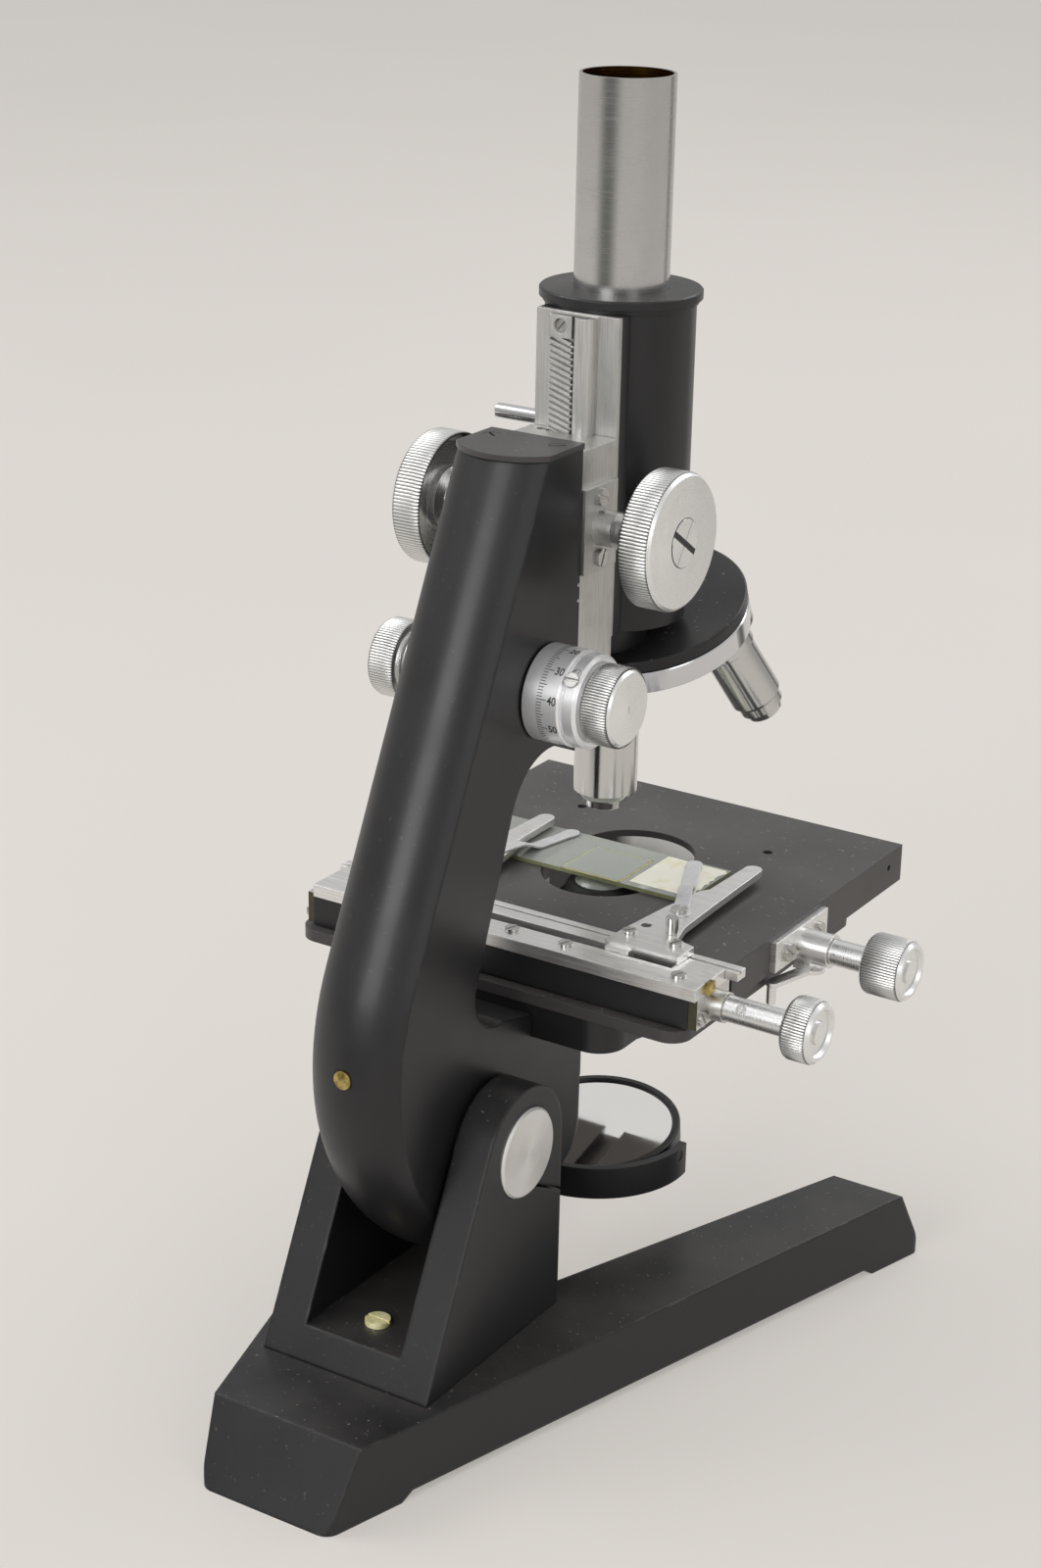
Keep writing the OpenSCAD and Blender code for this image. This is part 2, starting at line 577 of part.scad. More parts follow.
// Repeats an object of the optical axis at the three stations of the nosepiece
module station(k) turret_frame() rotate([0, 0, 120 * k]) rotate([-turret_tilt, 0, 0])
    translate([0, -turret_y, -turret_z]) children();
module plate_blank() {
    turret_frame() rotate_extrude(convexity = 4) polygon([[0, -plate_h], [turret_r - 0.4, -plate_h], [turret_r, -plate_h + 0.4],
        [turret_r, -0.4], [turret_r - 0.4, 0], [turret_r - 1.2, 0], [turret_r * 0.55, -1.2], [0, -1.2]]);
}
module nosepiece_plate() {
    color([0.09, 0.09, 0.1]) at_axis() difference() {
        plate_blank();
        turret_frame() cylinder(r = 2.5, h = 20, center = true);
        translate([0, 0, 150]) cylinder(r = light_r, h = 100);
    }
}
ring_r = turret_r + 0.1;
module turret() {
    color([0.8, 0.8, 0.82]) at_axis() difference() {
        union() {
            turret_frame() rotate_extrude(convexity = 4) polygon([[2.5, -plate_h - 0.15], [ring_r - 0.3, -plate_h - 0.15], [ring_r, -plate_h - 0.5],
                [ring_r, -plate_h - ring_h + 0.5], [ring_r - 0.5, -plate_h - ring_h], [9, -plate_h - ring_h],
                [8, -plate_h - ring_h - 1], [2.5, -plate_h - ring_h - 1]]);
            for (k = [0 : 2]) intersection() {
                station(k) translate([0, 0, seat_z]) cylinder(r = collar_r + 0.4, h = 20);
                turret_frame() box([-40, -40, -30], [40, 40, -plate_h - 1]);
            }
        }
        for (k = [0 : 2]) station(k) {
            // spot face for the shoulder of the objective
            translate([0, 0, seat_z - 20]) cylinder(r = collar_r + 0.2, h = 20);
            translate([0, 0, seat_z - 1]) cylinder(r = objective_thread / 2, h = thread_l + 1.2);
            translate([0, 0, seat_z - 1]) cylinder(r = light_r, h = 40);
        }
    }
}
module turret_screw() {
    color([0.8, 0.8, 0.82]) at_axis() turret_frame() {
        translate([0, 0, -plate_h - ring_h - 3]) cylinder(r = 5.5, h = 1.85);
        translate([0, 0, -plate_h - ring_h - 1.5]) cylinder(r = 2.45, h = ring_h + 3.5);
    }
}
// Objective, shoulder at the seat, front end downwards
module objective_shape(r, len, nose_r) rotate_extrude() polygon([[4.2, thread_l], [objective_thread / 2 - 0.05, thread_l],
    [objective_thread / 2 - 0.05, 0], [collar_r, 0], [collar_r, -2.6], [r + 0.6, -3.2], [r + 0.6, -9], [r, -9.6],
    [r, -len + 7.4], [r - 0.9, -len + 5.2], [nose_r + 0.6, -len + 2.2], [nose_r + 0.2, -len],
    [3.2, -len], [3.2, -len + 1.6], [4.2, -len + 3]]);
obj_len = 38.8;
side_len = 34.3;
side_r = 7.1;
module objective_working() {
    color([0.78, 0.78, 0.8]) at_axis() translate([0, 0, seat_z]) objective_shape(objective_d / 2, obj_len, 4.6);
}
module objective_side() {
    color([0.78, 0.78, 0.8]) at_axis() station(1) translate([0, 0, seat_z]) objective_shape(side_r, side_len, 4.6);
}
module objective_lenses() {
    color([0.6, 0.65, 0.7]) at_axis() {
        translate([0, 0, seat_z - obj_len + 0.1]) cylinder(r = 3.2, h = 1.4);
        station(1) translate([0, 0, seat_z - side_len + 0.1]) cylinder(r = 3.2, h = 1.4);
    }
}

// ---------------------------------------------------------------- stage
stage_half = stage_w / 2;
low_z = [106, 109.3];
low_front = 41;
low_back = -58.5;
// The fixed lower plate sits a little to the left of the top plate
low_x = [-stage_half - 2.8, stage_half - 1.3];
top_z0 = 109.6;
top_back = -34;
way_x = 40;
module rounded_plate(x, y, r) {
    translate([x[0] + r, y[0]]) square([x[1] - x[0] - 2 * r, y[1] - y[0]]);
    translate([x[0], y[0] + r]) square([x[1] - x[0], y[1] - y[0] - 2 * r]);
    for (cx = [x[0] + r, x[1] - r]) for (cy = [y[0] + r, y[1] - r]) translate([cx, cy]) circle(r);
}
module stage_bracket() {
    color([0.09, 0.09, 0.1]) at_axis() difference() {
        translate([0, 0, bracket_z]) linear_extrude(low_z[0] - bracket_z) difference() {
            rounded_plate([-37, 37], [bracket_back, -22.5], 8);
            circle(condenser_d / 2 + 1.6);
        }
        both_sides() for (y = [-48, -30]) translate([30, y, bracket_z - 1]) cylinder(r = 1.6, h = 30);
        both_sides() translate([7, -44, bracket_z - 1]) cylinder(r = 2.6, h = 30);
    }
}
module stage_base() {
    color([0.1, 0.1, 0.1]) at_axis() difference() {
        union() {
            translate([0, 0, low_z[0]]) linear_extrude(low_z[1] - low_z[0]) difference() {
                rounded_plate(low_x, [low_back, low_front], 6);
                circle(condenser_d / 2 + 1.6);
                translate([0, opening_draw]) circle(opening_r - 2);
                translate([-opening_r + 2, 0]) square([2 * opening_r - 4, opening_draw]);
            }
            // dovetail ways that guide the top plate
            both_sides() translate([way_x, 0, 0]) rotate([90, 0, 0]) translate([0, 0, -36])
                linear_extrude(68) polygon([[-3, low_z[1] - eps], [3, low_z[1] - eps], [4.4, low_z[1] + 3.6], [-4.4, low_z[1] + 3.6]]);
        }
        both_sides() for (y = [-48, -30]) translate([30, y, 0]) cylinder(r = 1.6, h = low_z[1] - 1.6);
    }
}
module stage_base_screws() {
    color([0.5, 0.5, 0.5]) at_axis() both_sides() {
        for (y = [-48, -30]) translate([30, y, bracket_z]) rotate([180, 0, 30]) slotted(3, 1.6, 1.6, 11);
        translate([7, -44, low_z[0] - 6]) cylinder(r = 2.6, h = 6);
    }
}
bracket_screw_y = [-5.5, 12];
module stage_plate() {
    color([0.11, 0.11, 0.11]) at_axis() difference() {
        translate([0, 0, top_z0]) linear_extrude(stage_z - top_z0) difference() {
            translate([-stage_half, top_back]) square([stage_w, stage_l]);
            circle(opening_r);
            translate([0, opening_draw]) circle(opening_r);
            translate([-opening_r, 0]) square([2 * opening_r, opening_draw]);
        }
        // grooves over the dovetail ways
        both_sides() translate([way_x, 0, 0]) rotate([90, 0, 0]) translate([0, 0, -100])
            linear_extrude(200) polygon([[-3.1, top_z0 - 1], [3.1, top_z0 - 1], [4.7, low_z[1] + 3.75], [-4.7, low_z[1] + 3.75]]);
        both_sides() translate([31, 40, stage_z - 5]) cylinder(r = 1.4, h = 10);
        x_rod(0.9, stage_half - 4, stage_half + 4, 59.5, 116);
        for (y = bracket_screw_y) x_rod(1.2, stage_half - 6, stage_half + 4, y, 114);
        // relief for the cross travel pinion
        x_rod(4.4, stage_half - 7, stage_half + 4, y_axis, y_axis_z);
        box([stage_half - 7, y_axis - 4.4, 100], [stage_half + 4, y_axis + 4.4, y_axis_z]);
    }
}
rail_y0 = -57.3;
rail_end = [-stage_half + 2.2, stage_half + 1.9];
bar_y = [-41.6, -37.4];
rail_top = 122.5;
x_axis_y = -47;
x_axis_z = 114.8;
end_screw_y = [-53, -41];
end_screw_z = x_axis_z - 2;
module rail_body() {
    color([0.09, 0.09, 0.1]) at_axis() difference() {
        box([-stage_half + 1, -55.5, top_z0 + 0.2], [stage_half - 1, top_back, 119]);
        x_rod(3.8, -stage_half - 10, stage_half + 10, x_axis_y, x_axis_z);
        box([-stage_half + 3, x_axis_y - 2, x_axis_z], [stage_half - 3, x_axis_y + 2, 130]);
        for (p = rail_screws) translate([p[0], p[1], 112]) cylinder(r = 1.2, h = 20);
        both_sides() for (y = end_screw_y) x_rod(1.2, stage_half - 6, stage_half + 10, y, end_screw_z);
    }
}
rail_screws = [[3.2, -51.7], [20, -51.9], [stage_half - 6, -52], [-stage_half + 20, -52]];
module x_rail() {
    color([0.74, 0.75, 0.74]) at_axis() difference() {
        union() {
            box([rail_end[0], rail_y0, 119], [rail_end[1], bar_y[0] - 0.1, rail_top]);
            box([rail_end[0], bar_y[0] - 1, 119], [rail_end[1], top_back - 1.6, 119.8]);
            box([rail_end[0], bar_y[1] + 0.1, 119], [rail_end[1], top_back - 1.6, 121.4]);
        }
        // slot for the travelling nut
        box([-stage_half + 8, x_axis_y - 1.9, 118], [stage_half - 10, x_axis_y + 1.9, 130]);
        for (p = rail_screws) translate([p[0], p[1], 112]) cylinder(r = 1.2, h = 20);
    }
}
module rail_end_plates() {
    color([0.76, 0.76, 0.75]) at_axis() {
        difference() {
            union() {
                box([stage_half - 1, -55.3, top_z0 + 0.6], [stage_half + 1.6, -38.4, 119]);
                x_rod(4.1, stage_half + 1, stage_half + 6, x_axis_y, x_axis_z);
            }
            x_rod(3 + run, stage_half - 10, stage_half + 20, x_axis_y, x_axis_z);
            for (y = end_screw_y) x_rod(1.2, stage_half - 6, stage_half + 10, y, end_screw_z);
        }
        difference() {
            box([-stage_half - 1, -55.3, top_z0 + 0.6], [-stage_half + 1, -38.4, 119]);
            x_rod(3 + run, -stage_half - 20, -stage_half + 10, x_axis_y, x_axis_z);
            for (y = end_screw_y) x_rod(1.2, -stage_half - 10, -stage_half + 6, y, end_screw_z);
        }
    }
}
module stage_screws() {
    color([0.65, 0.65, 0.64]) at_axis() {
        for (p = rail_screws) translate([p[0], p[1], rail_top]) rotate([0, 0, 70]) slotted(2, 0.7, 1.2, 8);
        for (y = end_screw_y) {
            translate([stage_half + 1.6, y, end_screw_z]) rotate([30, 0, 0]) face_x() slotted(2, 0.9, 1.2, 6);
            mirror([1, 0, 0]) translate([stage_half + 1, y, end_screw_z]) rotate([30, 0, 0]) face_x()
                slotted(2, 0.9, 1.2, 6);
        }
        for (y = bracket_screw_y) translate([stage_half + 1.8, y, 114]) rotate([50, 0, 0]) face_x()
            slotted(2.6, 1, 1.2, 7);
    }
}
y_axis = 3;
y_axis_z = 113.4;
module y_bearing() {
    color([0.76, 0.77, 0.77]) at_axis() difference() {
        union() {
            box([stage_half, -12.6, 110.4], [stage_half + 1.8, 17.4, 119]);
            x_rod(4.6, stage_half + 1, stage_half + 11, y_axis, y_axis_z);
            box([stage_half + 1, y_axis - 3.6, 107.6], [stage_half + 6, y_axis + 3.6, y_axis_z]);
        }
        x_rod(3 + run, stage_half - 10, stage_half + 30, y_axis, y_axis_z);
        for (y = bracket_screw_y) x_rod(1.2, stage_half - 6, stage_half + 4, y, 114);
    }
}
// Flat lever under the bearing that sets the drag of the travel, with its stop post
lever_z = [106.5, 107.6];
lever_r = 1.9;
lever_end = [stage_half + 0.9, -11.8];
lever_hub = [stage_half + 5, y_axis];
module tension_arm() {
    span = lever_hub - lever_end;
    lever_t = lever_z[1] - lever_z[0];
    color([0.76, 0.77, 0.77]) at_axis() {
        translate([lever_end.x, lever_end.y, lever_z[0]]) {
            cylinder(r = lever_r, h = lever_t);
            rotate([0, 0, atan2(span.y, span.x)]) translate([0, -lever_r + 0.02, 0.02])
                cube([norm(span), 2 * lever_r - 0.04, lever_t - 0.04]);
        }
        translate([lever_hub.x, lever_hub.y, lever_z[0]]) cylinder(r = 3.6, h = lever_t);
        translate([lever_end.x - 0.5, lever_end.y + 0.3, 101]) cylinder(r = 1.3, h = lever_z[0] - 101 + 0.5);
    }
}
y_knob_x = stage_half + 22.3;
y_knob_l = 12;
module y_shaft() {
    color([0.76, 0.77, 0.77]) at_axis() {
        x_rod(3, stage_half - 6, y_knob_x + 6, y_axis, y_axis_z);
        x_rod(3.6, stage_half + 11.3, y_knob_x, y_axis, y_axis_z);
    }
}
module stage_knob(l, groove) rotate_extrude() polygon([[3, 0], [stage_knob_d / 2 - 0.6, 0], [stage_knob_d / 2, 0.6],
    [stage_knob_d / 2, l - 0.9], [stage_knob_d / 2 - 0.8, l], [stage_knob_d / 2 - 1.8, l], [stage_knob_d / 2 - 2.4, l - 0.9],
    [groove, l - 0.9], [groove, l - 0.3], [0, l - 0.3], [0, 6], [3, 6]]);
module y_knob() {
    color([0.8, 0.8, 0.8]) at_axis() translate([y_knob_x, y_axis, y_axis_z]) rotate([0, 90, 0]) stage_knob(y_knob_l, 3.2);
}
x_knob_x = stage_half + 24.7;
x_knob_l = 8.2;
module x_screw() {
    color([0.76, 0.77, 0.77]) at_axis() {
        x_rod(2.6, -stage_half + 2, stage_half - 1, x_axis_y, x_axis_z);
        x_rod(3, -stage_half - 0.5, -stage_half + 3, x_axis_y, x_axis_z);
        x_rod(3, stage_half - 2, x_knob_x + 6, x_axis_y, x_axis_z);
        x_rod(3.5, stage_half + 6.3, x_knob_x, x_axis_y, x_axis_z);
    }
}
module x_knob() {
    color([0.8, 0.8, 0.8]) at_axis() translate([x_knob_x, x_axis_y, x_axis_z]) rotate([0, 90, 0]) stage_knob(x_knob_l, 3.2);
}
holder_z = 122.6;
holder_t = 2;
module slide_bar() {
    color([0.76, 0.77, 0.77]) at_axis() difference() {
        box([-stage_half, bar_y[0], 119.9], [stage_half + 5.6, bar_y[1], rail_top - 0.1]);
        box([-stage_half - 1, bar_y[0] + 1, rail_top - 1.2], [stage_half + 6, bar_y[0] + 1.9, rail_top + 1]);
        holder_halves() for (x = holder_screw_x) translate([x, bar_mid, 110]) cylinder(r = 1, h = 20);
    }
}
// The left half of the holder sits nearer the middle than a mirror image would
left_shift = 8.4;
module left_half() translate([left_shift, 0, 0]) mirror([1, 0, 0]) children();
module holder_halves() { children(); left_half() children(); }
bar_mid = (bar_y[0] + bar_y[1]) / 2;
holder_screw_x = [32, 46];
finger_pivot = [36.6, -21];
// One half of the slide holder: a foot on the bar and a tapered arm that reaches over the stage
module holder_arm() {
    polygon([[28.8, -46.6], [50.6, -46.6], [50.6, -38], [44.6, -36.2], [42.4, -28], [41.6, -12], [40.6, 17.6],
        [35.6, 17.6], [35.2, -2], [33.6, -4.4], [31.2, -20], [29.6, -36]]);
    translate([38.1, 17.6]) circle(2.5);
}
module slide_holder() {
    color([0.78, 0.79, 0.79]) at_axis() {
        translate([0, 0, holder_z]) linear_extrude(holder_t) difference() {
            holder_halves() holder_arm();
            holder_halves() {
                translate([33.2, -32.8]) circle(1.5);
                translate(finger_pivot) circle(1.25);
                for (x = holder_screw_x) translate([x, bar_mid]) circle(1);
            }
        }
        // nut that rides on the lead screw
        difference() {
            union() {
                box([30, x_axis_y - 1.7, x_axis_z - 0.5], [37, x_axis_y + 1.7, holder_z + eps]);
                box([30, x_axis_y - 1.7, holder_z - eps], [37, -44, holder_z + 1]);
            }
            x_rod(2.65, 0, 60, x_axis_y, x_axis_z);
        }
    }
}
module holder_screws() {
    color([0.7, 0.7, 0.7]) at_axis() holder_halves() {
        for (x = holder_screw_x) translate([x, bar_mid, holder_z + holder_t]) rotate([0, 0, 20 + x])
            slotted(1.9, 0.9, 1, 4);
        translate([41.4, -33.6, holder_z + holder_t]) cylinder(r = 1.7, h = 4.6);
    }
}
// Spring finger: a strip that swings on its pivot and bears on the slide
finger_reach = 36;
module finger_shape(turn) {
    linear_extrude(0.7) difference() {
        union() {
            circle(3);
            rotate([0, 0, turn]) translate([-2.1, 0]) square([4.2, finger_reach]);
            rotate([0, 0, turn]) translate([0, finger_reach]) circle(2.1);
        }
        circle(1.25 + run);
    }
    translate([0, 0, -holder_t + 0.1]) cylinder(r = 1.2, h = holder_t + 0.7);
    translate([0, 0, 0.65]) difference() {
        cylinder(r = 2.3, h = 1.1);
        translate([-3, -0.35, 0.6]) cube([6, 0.7, 2]);
    }
}
finger_z = holder_z + holder_t + 0.05;
module right_finger() {
    color([0.8, 0.8, 0.82]) at_axis() translate([finger_pivot.x, finger_pivot.y, finger_z]) finger_shape(24);
}
module left_finger() {
    color([0.8, 0.8, 0.82]) at_axis() left_half() translate([finger_pivot.x, finger_pivot.y, finger_z]) finger_shape(15.5);
}
slide_l = 76.2;
slide_w = 25.4;
slide_end = 30.5;
slide_back = -6;
module glass_slide() {
    color([0.8, 0.88, 0.84, 0.5]) at_axis()
        box([slide_end - slide_l, slide_back, stage_z], [slide_end, slide_back + slide_w, stage_z + 1.1]);
}

// ---------------------------------------------------------------- substage
cond_r = condenser_d / 2;
cond_z0 = 76;
ring_z = [79, 89];
module condenser_bracket() {
    color([0.09, 0.09, 0.1]) at_axis() difference() {
        union() {
            translate([0, 0, ring_z[0]]) cylinder(r = cond_r + 3.6, h = ring_z[1] - ring_z[0]);
            box([-8, tail_front, ring_z[0]], [8, -cond_r, ring_z[1]]);
            box([-11, tail_front, 72], [11, tail_front + 4.5, 94]);
        }
        translate([0, 0, 50]) cylinder(r = cond_r + run, h = 80);
        for (z = [75.5, 91.5]) y_rod(1.6, tail_front - 1, tail_front + 10, 0, z);
    }
}
module condenser() {
    color([0.15, 0.15, 0.15]) at_axis() difference() {
        translate([0, 0, cond_z0]) rotate_extrude() polygon([[11, 0], [cond_r - 0.5, 0], [cond_r, 0.5], [cond_r, 26], [cond_r - 1, 27.5],
            [13, 32], [10.5, 40], [9.2, 42.2], [7.6, 42.2], [7.6, 38], [11, 20]]);
    }
}
module condenser_lens() {
    color([0.75, 0.8, 0.82, 0.6]) at_axis() {
        translate([0, 0, cond_z0 + 38.1]) rotate_extrude() polygon([[0, 0], [7.6, 0], [7.6, 4.1], [6.6, 4.9], [4, 5.4], [0, 5.6]]);
    }
}
fork_in = mirror_d / 2 + 1.4;
fork_out = fork_in + 2.3;
fork_z = [33, 42.4];
fork_pin_z = 37;
// Front face of the bracket that the fork's boss bears on
bracket_face = -fork_out - 4.7;
module mirror_bracket() {
    color([0.09, 0.09, 0.1]) at_axis() difference() {
        box([-6, -46, 30.5], [6, bracket_face, tail_floor]);
        y_rod(3 + run, -60, -20, 0, fork_pin_z);
    }
}
module mirror_fork() {
    color([0.09, 0.09, 0.1]) at_axis() {
        difference() {
            translate([0, 0, fork_z[0]]) cylinder(r = fork_out, h = fork_z[1] - fork_z[0]);
            cylinder(r = fork_in, h = 100);
            box([-60, 4, 0], [60, 60, 100]);
            x_rod(1.5 + run, -60, 60, 0, mirror_z);
        }
        y_rod(3, -45.2, -fork_out + 0.8, 0, fork_pin_z);
        y_rod(5, bracket_face + 0.3, -fork_out + 0.6, 0, fork_pin_z);
    }
}
mirror_lean = 7;
module mirror_frame() translate([0, 0, mirror_z]) rotate([mirror_lean, 0, 0]) children();
module mirror_cell() {
    color([0.6, 0.6, 0.6]) at_axis() mirror_frame() {
        rotate_extrude() polygon([[mirror_d / 2 - 1.6, -1.9], [mirror_d / 2 - 2.6, -1.9], [mirror_d / 2 - 2.6, -2.7], [mirror_d / 2, -2.7],
            [mirror_d / 2, 2.3], [mirror_d / 2 - 0.4, 2.7], [mirror_d / 2 - 2, 2.7], [mirror_d / 2 - 2.4, 1.9], [mirror_d / 2 - 1.6, 1.9]]);
        both_sides() x_rod(1.5, mirror_d / 2 - 0.5, fork_out - 0.2, 0, 0);
    }
}
module mirror_glass() {
    color([0.85, 0.87, 0.88]) at_axis() mirror_frame() translate([0, 0, -1.9]) cylinder(r = mirror_d / 2 - 1.6, h = 3.8);
}

base_casting();
pillar();
base_bolts();
pivot_pin();
pivot_caps();
recess_screw();
arm();
arm_cap();
arm_cap_screws();
stop_pin();
focus_block();
pinion_bearings();
bearing_screws();
fine_shaft();
fine_drum();
fine_knobs();
fine_set_screws();
pinion_shaft();
coarse_knobs();
knob_screws();
body_tube();
slide_plate();
rack();
rack_screws();
tube_flange();
eyepiece_tube();
tube_stud();
nosepiece_plate();
turret();
turret_screw();
objective_working();
objective_side();
objective_lenses();
stage_bracket();
stage_base();
stage_base_screws();
stage_plate();
rail_body();
x_rail();
rail_end_plates();
stage_screws();
y_bearing();
tension_arm();
y_shaft();
y_knob();
x_screw();
x_knob();
slide_bar();
slide_holder();
holder_screws();
right_finger();
left_finger();
glass_slide();
condenser_bracket();
condenser();
condenser_lens();
mirror_bracket();
mirror_fork();
mirror_cell();
mirror_glass();
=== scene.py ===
import math
import random

import bmesh
import bpy
from mathutils import Matrix, Vector


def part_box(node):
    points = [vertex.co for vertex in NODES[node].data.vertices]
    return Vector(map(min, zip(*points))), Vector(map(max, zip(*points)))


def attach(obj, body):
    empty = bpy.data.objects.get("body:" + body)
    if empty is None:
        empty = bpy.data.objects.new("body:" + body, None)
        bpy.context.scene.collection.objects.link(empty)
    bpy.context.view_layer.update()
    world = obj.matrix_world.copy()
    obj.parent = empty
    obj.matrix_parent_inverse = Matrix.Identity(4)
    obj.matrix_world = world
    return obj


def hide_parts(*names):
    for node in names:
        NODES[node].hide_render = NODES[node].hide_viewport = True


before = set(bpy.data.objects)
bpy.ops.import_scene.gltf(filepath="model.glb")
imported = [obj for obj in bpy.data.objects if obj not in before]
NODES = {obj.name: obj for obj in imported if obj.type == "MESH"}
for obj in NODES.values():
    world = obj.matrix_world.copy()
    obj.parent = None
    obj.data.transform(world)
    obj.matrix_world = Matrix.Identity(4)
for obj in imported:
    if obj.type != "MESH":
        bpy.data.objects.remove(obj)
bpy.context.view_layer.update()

METALS = {}
PLATE_TONE_AND_SHEEN = (56, 53, 53)                # the stage's and the cap plate's paint, in sRGB: a browner black, lighter by a painted sheen from above
random.seed(7)

# Places and sizes that repeat the CAD model's, in metres
AXIS_Y = 0.147                           # the optical axis, at X = 0
COARSE = Vector((0, 0.1158, 0.2301))     # a point on the axis of each kind of knob, all along X
FINE = Vector((0, 0.0928, 0.1922))
CROSS = Vector((0, 0.150, 0.1134))       # the stage's knob that moves the plate to and fro
TRAVERSE = Vector((0, 0.100, 0.1148))    # the stage's knob that moves the slide across
OPENING_RADIUS = 0.01735                 # the stage's opening: two half circles and the run between them
OPENING_RUN = 0.018
STAGE_BOTTOM = 0.1132
LIMB_SIDE = 0.0135
DRUM_RADIUS = 0.0126
DRUM_ZERO = math.radians(155)            # where the drum's 0 stands, from the rear upwards
FINGER_HUB = 0.0030                      # radii of a spring finger's two ends
FINGER_TIP = 0.0022
COARSE_RIM = (0.0299, 0.0380)            # where a coarse knob's ridges start and end along X
RIDGE = 0.0003                           # how far the knurls' ridges stand out
RIMS = (("coarse", COARSE, 0.01765), ("fine", FINE, 0.0102),
        ("cross", CROSS, 0.00815), ("traverse", TRAVERSE, 0.00815))


# ------------------------------------------------------------------ node helpers
def linear(r, g, b):
    """An sRGB colour, 0 to 255, as the linear RGBA that shader sockets take."""
    def one(v):
        v /= 255
        return v / 12.92 if v <= 0.04045 else ((v + 0.055) / 1.055) ** 2.4
    return (one(r), one(g), one(b), 1.0)


class Shader:
    """A node tree under construction, a new material's unless one is given, with short ways to add nodes."""

    def __init__(self, name, tree=None):
        if tree is None:
            self.material = bpy.data.materials.new(name)
            self.material.use_nodes = True
            tree = self.material.node_tree
            self.bsdf = tree.nodes["Principled BSDF"]
        self.tree = tree

    def set(self, **sockets):
        for key, value in sockets.items():
            self.plug(value, self.bsdf.inputs[key.replace("_", " ")])
        return self

    def plug(self, value, socket):
        if isinstance(value, bpy.types.NodeSocket):
            self.tree.links.new(value, socket)
        else:
            socket.default_value = value

    def add(self, kind, inputs=None, out=0, **settings):
        node = self.tree.nodes.new("ShaderNode" + kind)
        for key, value in settings.items():
            setattr(node, key, value)
        for key, value in (inputs or {}).items():
            self.plug(value, node.inputs[key])
        return node.outputs[out]

    def object_coords(self):
        return self.add("TexCoord", out="Object")

    def maths(self, operation, a, b=0.0, c=0.0):
        return self.add("Math", {0: a, 1: b, 2: c}, operation=operation)

    def product(self, first, *others):
        for other in others:
            first = self.maths("MULTIPLY", first, other)
        return first

    def distance(self, x, y):
        """How far (x, y) is from zero."""
        return self.maths("SQRT", self.maths("ADD", self.product(x, x), self.product(y, y)))

    def part(self, axis, vector=None):
        """The X, Y or Z of a vector, or of the place on the object where none is given."""
        return self.add("SeparateXYZ", {"Vector": vector or self.object_coords()}, out=axis)

    def facing(self, axis):
        """The X, Y or Z of the surface's normal."""
        return self.part(axis, self.add("NewGeometry", out="Normal"))

    def noise(self, scale, detail=3.0, vector=None):
        return self.add("TexNoise", {"Vector": vector or self.object_coords(), "Scale": scale,
                                     "Detail": detail, "Roughness": 0.55}, out="Fac")

    def spread(self, value, low, high, to_low=0.0, to_high=1.0):
        """value, mapped from low..high to to_low..to_high and held within them."""
        return self.add("MapRange", {"Value": value, "From Min": low, "From Max": high,
                                     "To Min": to_low, "To Max": to_high})

    def mix(self, factor, a, b):
        node = self.tree.nodes.new("ShaderNodeMix")
        node.data_type = "RGBA"
        for key, value in ((0, factor), (6, a), (7, b)):
            self.plug(value, node.inputs[key])
        return node.outputs[2]

    def bump(self, height, distance, strength=1.0, normal=None):
        inputs = {"Height": height, "Distance": distance, "Strength": strength}
        if normal is not None:
            inputs["Normal"] = normal
        return self.add("Bump", inputs, out="Normal")

    def soft_edges(self, radius):
        """A normal that rounds every edge off by radius, in metres."""
        return self.add("Bevel", {"Radius": radius}, out="Normal", samples=6)

    def edge_mask(self, radius, low, high):
        """1 on edges and corners, 0 on open faces."""
        rounded = self.soft_edges(radius)
        flat = self.add("NewGeometry", out="Normal")
        along = self.add("VectorMath", {0: rounded, 1: flat}, out="Value", operation="DOT_PRODUCT")
        return self.spread(self.maths("SUBTRACT", 1.0, along), low, high)

    def upward(self, low, high):
        """1 on faces that look up, 0 on the rest."""
        return self.spread(self.facing("Z"), low, high)


# ------------------------------------------------------------------ materials
def opening_painted_light(s):
    """1 where the wall of the stage's opening, a slot along Y between two half circles, is painted pale:
    painted light that stands for the bright light seen through the opening.
    """
    across, along, height = (s.part(axis) for axis in "XYZ")
    nearest = s.add("Clamp", {"Value": along, "Min": AXIS_Y, "Max": AXIS_Y + OPENING_RUN})
    wall = s.maths("LESS_THAN", s.distance(across, s.maths("SUBTRACT", along, nearest)), OPENING_RADIUS)
    far = s.maths("GREATER_THAN", along, AXIS_Y)
    # How high the painted light reaches on the near and the far wall, above the stage's underside
    lit_near, lit_far = 0.0017, 0.0053
    limit = s.maths("MULTIPLY_ADD", far, lit_far - lit_near, STAGE_BOTTOM + lit_near)
    above = s.spread(height, STAGE_BOTTOM - 0.0002, STAGE_BOTTOM + 0.0002)
    left = s.product(far, s.spread(across, -0.013, -0.009, 1.0, 0.0))
    return s.product(wall, above, s.maths("LESS_THAN", height, limit), s.maths("SUBTRACT", 1.0, left))


